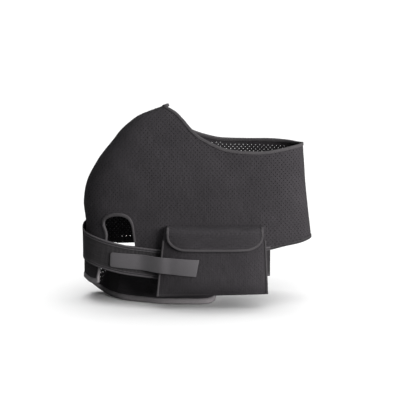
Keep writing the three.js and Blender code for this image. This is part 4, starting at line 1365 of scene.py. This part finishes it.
def make_flap():
    surface = flap_surface()
    outline = rim_of(surface, 2)

    def keep(centres):
        i, j = surface.locate(centres)
        turn, drop = ranked(i, surface.turns), ranked(j, surface.drops)
        return (drop < PATCH_DROPS[1]) & ((turn < PLAIN_TURNS[0]) | (turn > PLAIN_TURNS[1]))

    flap = perforated("arm_flap_neoprene", surface, outline, SHEET, HOLE_MARGIN, keep)
    dress(flap, NEOPRENE, "body_cloth", "arm_flap")
    stations = flap_stations(surface)
    room = CURVED_TAPE_ROOM * 0.6
    going = taped("flap_tape", stations, SHEET / 2, room, "flap_binding", HEM_CLOTH, reach=0.9)
    going += [make_patch(surface), make_joint(surface)]
    flat, area = flat_size(outline)


def make_patch(surface):
    """Smooth brushed patch on the inner face of the flap."""
    grid = flap_grid(surface, np.linspace(*PATCH_TURNS, 40), np.linspace(*PATCH_DROPS, 30))
    grid = np.meshgrid(*grid, indexing="ij")
    places, normals = surface.at(*grid)
    middle = places - normals * (SHEET / 2 + PATCH_THICK / 2 + THREAD_LIFT)
    patch = sheet_grid("inner_patch", middle, normals, PATCH_THICK, surface.flat(*grid))
    return dress(patch, PATCH_CLOTH, "body_cloth")


def make_joint(surface):
    """Stitches that sew the flap's upper edge to the bottom of the loop."""
    turns = np.linspace(0.01, FLAP_JOIN_TURN, 130)
    edge = flap_top(turns)
    i, _ = flap_grid(surface, turns, 0.0)
    normal = unit(surface.spot(surface.normals, i, np.full_like(i, surface.points.shape[1] - 2)))
    along = unit(np.gradient(edge, axis=0))
    ways = unit(unit(np.cross(along, normal)) + 0.6 * zigzag(len(turns), along))
    places = edge + normal * (SHEET / 2 + THREAD_LIFT)
    return sewn("flap_joint_stitches", places, normal, ways, length=4.0, radius=0.28)


def sheet_grid(name, middle, normals, thick, flats):
    """Plain sheet of even thickness about a grid of middle points."""
    rows, columns = middle.shape[:2]
    verts = np.concatenate([(middle + way * normals * thick / 2).reshape(-1, 3) for way in (1, -1)])
    count = rows * columns
    faces, rim = [], []
    for i in range(rows - 1):
        for j in range(columns - 1):
            a, b = i * columns + j, i * columns + j + 1
            c, d = b + columns, a + columns
            faces += [(a, b, c, d), (d + count, c + count, b + count, a + count)]
    place = np.arange(count).reshape(rows, columns)
    border = [*place[0], *place[1:, -1], *place[-1, -2::-1], *place[-2:0:-1, 0]]
    for a, b in zip(border, border[1:] + border[:1]):
        faces.append((b, a, a + count, b + count))
        rim += [(a, b), (a + count, b + count)]
    return outward(mesh_object(name, verts, faces, np.tile(flats.reshape(-1, 2), (2, 1)), rim))


def make_strap():
    stations = strap_stations()
    section, pale = strap_section()
    strap = sweep("arm_strap_elastic", stations, section)
    for k, face in enumerate(strap.data.polygons):
        face.material_index = 1 if pale[k % len(section)] else 0
    dress(strap, ELASTIC, "elastic", "arm_strap", second_finish=SELVEDGE)
    box = strap_box(stations)


def strap_box(stations):
    """Box of stitches that holds the strap's end on the back of the loop."""
    place, out, up, _ = [part[-40:] for part in stations]
    half = STRAP_WIDTH / 2 - 4
    first, last = 14, 37
    face = place + out * (STRAP_THICK / 2 + THREAD_LIFT)
    lines = [(face[first:last] + up[first:last] * level, out[first:last]) for level in (-half, half)]
    levels = np.linspace(-half, half, 24)[:, None]
    lines += [(face[k] + up[k] * levels, np.repeat(out[k][None], 24, axis=0)) for k in (first, last)]
    return sewn("strap_end_stitches", *thread_row(lines))


def make_pocket():
    back = upright_surface(pocket_back_point, POCKET_BACK_LEVEL, 60, 60)
    flats = back.flat(*np.meshgrid(np.arange(60), np.arange(60), indexing="ij"))
    sheet = sheet_grid("pocket_back_cloth", back.points, back.normals, POCKET_SHEET, flats)
    dress(sheet, NEOPRENE, "pocket_cloth", "pocket_back")
    size = (POCKET_FOOT_WIDTH * MM, (POCKET_BACK_LEVEL - POCKET_FOOT_LEVEL) * MM)
    area = (POCKET_TOP_WIDTH + POCKET_FOOT_WIDTH) / 2 * MM * size[1]
    front = upright_surface(pocket_front_point, POCKET_MOUTH_LEVEL)
    outline = rim_of(front)
    pouch = perforated("pocket_front_neoprene", front, outline, POCKET_SHEET, POCKET_MARGIN, through=False)
    dress(pouch, NEOPRENE, "pocket_cloth", "pocket_front")
    half, room = (2 * POCKET_SHEET + GAP) / 2, (GAP + POCKET_TAPE_ROOM) * 0.8
    going = []
    for across, side in ((0, "left"), (1, "right")):
        stations = pocket_tape_stations(across)
        going += taped(f"pocket_tape_{side}", stations, half, room, f"pocket_binding_{side}", faces=(1,))
    going.append(foot_threads(front))
    flat, area = flat_size(outline)


def foot_threads(front):
    """Line of stitches along the pocket's foot."""
    row, inset = 3, 3
    points, normals = front.points[row, inset:-inset], front.normals[row, inset:-inset]
    lines = [(points + normals * (POCKET_SHEET / 2 + THREAD_LIFT), normals)]
    return sewn("pocket_foot_stitches", *thread_row(lines))


def make_lid():
    surface = lid_surface()
    outline = rim_of(surface)
    lid = perforated("pocket_lid_neoprene", surface, outline, POCKET_SHEET, LID_MARGIN, through=False)
    dress(lid, NEOPRENE, "pocket_cloth", "pocket_lid")
    going = taped("lid_tape", lid_stations(surface), POCKET_SHEET / 2, GAP, "lid_binding", faces=(1,))
    flat, area = flat_size(outline)


make_loop()
make_flap()
make_strap()
make_pocket()
make_lid()
dress(make_tab(), TAB_RUBBER, "tab_plastic", "strap_tab")


# Floor, light and camera


PAPER = 0.93
BOUNCE = 0.45
AROUND = 0.1
CEILING = 2.95
CEILING_WAY = (0.22, -0.05, 1)
CEILING_FADE = (0.55, 0.95)
CAMERA_RISE = 12
CAMERA_AWAY = 2.2
CAMERA_RIGHT = 4.4
CAMERA_AIM = 178.2
CAMERA_LENS = 113.14


def make_floor():
    """White paper, which throws back less light than it shows so that the cloth stays dark."""
    bpy.ops.object.select_all(action="DESELECT")
    bpy.ops.mesh.primitive_plane_add(size=24, location=(0, 0, 0))
    floor = bpy.context.object
    floor.name = "studio_floor"
    material, tree, shader = new_material("pale_paper", 0.2)
    mottle = noise(tree, node(tree, "TexCoord").outputs["Object"], 3.0)
    tree.links.new(spread(tree, mottle, 0.6, 0.7), shader["Roughness"])
    seen = node(tree, "LightPath").outputs["Is Camera Ray"]
    paper = mixed(tree, seen, (BOUNCE, BOUNCE, BOUNCE, 1), (PAPER, PAPER, PAPER, 1))
    tree.links.new(paper, shader["Base Color"])
    floor.data.materials.append(material)
    return floor


def point_at(obj, place, aim):
    obj.location = place
    obj.rotation_euler = (aim - place).to_track_quat("-Z", "Y").to_euler()


def soft_light(name, place, aim, size, power, colour, misses):
    """Area light that leaves out the stage, so that the paper keeps its own soft shadow."""
    lamp = bpy.data.lights.new(name, "AREA")
    lamp.shape = "RECTANGLE"
    lamp.size, lamp.size_y = size
    lamp.energy = power
    lamp.color = colour
    obj = new_object(name, lamp)
    point_at(obj, Vector(place), Vector(aim))
    left_out = bpy.data.collections.new(name + "_misses")
    left_out.objects.link(misses)
    obj.light_linking.receiver_collection = left_out
    left_out.collection_objects[0].light_linking.link_state = "EXCLUDE"


def make_world():
    """Dim surroundings with a broad bright patch overhead, leaning right, which keeps the paper white."""
    world = bpy.data.worlds.new("studio")
    bpy.context.scene.world = world
    world.use_nodes = True
    tree = world.node_tree
    sockets = {0: node(tree, "TexCoord").outputs["Generated"], 1: Vector(CEILING_WAY).normalized()}
    above = node(tree, "VectorMath", sockets, operation="DOT_PRODUCT").outputs["Value"]
    glow = spread(tree, above, AROUND, CEILING, CEILING_FADE, interpolation_type="SMOOTHSTEP")
    background = tree.nodes["Background"].inputs
    background["Color"].default_value = (1, 1, 1, 1)
    tree.links.new(glow, background["Strength"])


def make_camera():
    """Camera from which the brace lies in the picture as it does in the photograph."""
    rise = math.radians(CAMERA_RISE)
    aim = Vector((PLACE[0] + CAMERA_RIGHT, PLACE[1], CAMERA_AIM)) * MM
    data = bpy.data.cameras.new("photo_view")
    data.lens = CAMERA_LENS
    data.sensor_width = 36
    camera = new_object("photo_view", data)
    point_at(camera, aim + Vector((0, -math.cos(rise), math.sin(rise))) * CAMERA_AWAY, aim)
    bpy.context.scene.camera = camera


paper_floor = make_floor()
make_world()
soft_light("key", place=(2.05, -1.6, 0.85), aim=(0, 0, 0.17), size=(1.8, 1.2), power=235,
           colour=(1, 0.965, 0.96), misses=paper_floor)
bpy.context.scene.view_settings.view_transform = "Standard"
make_camera()
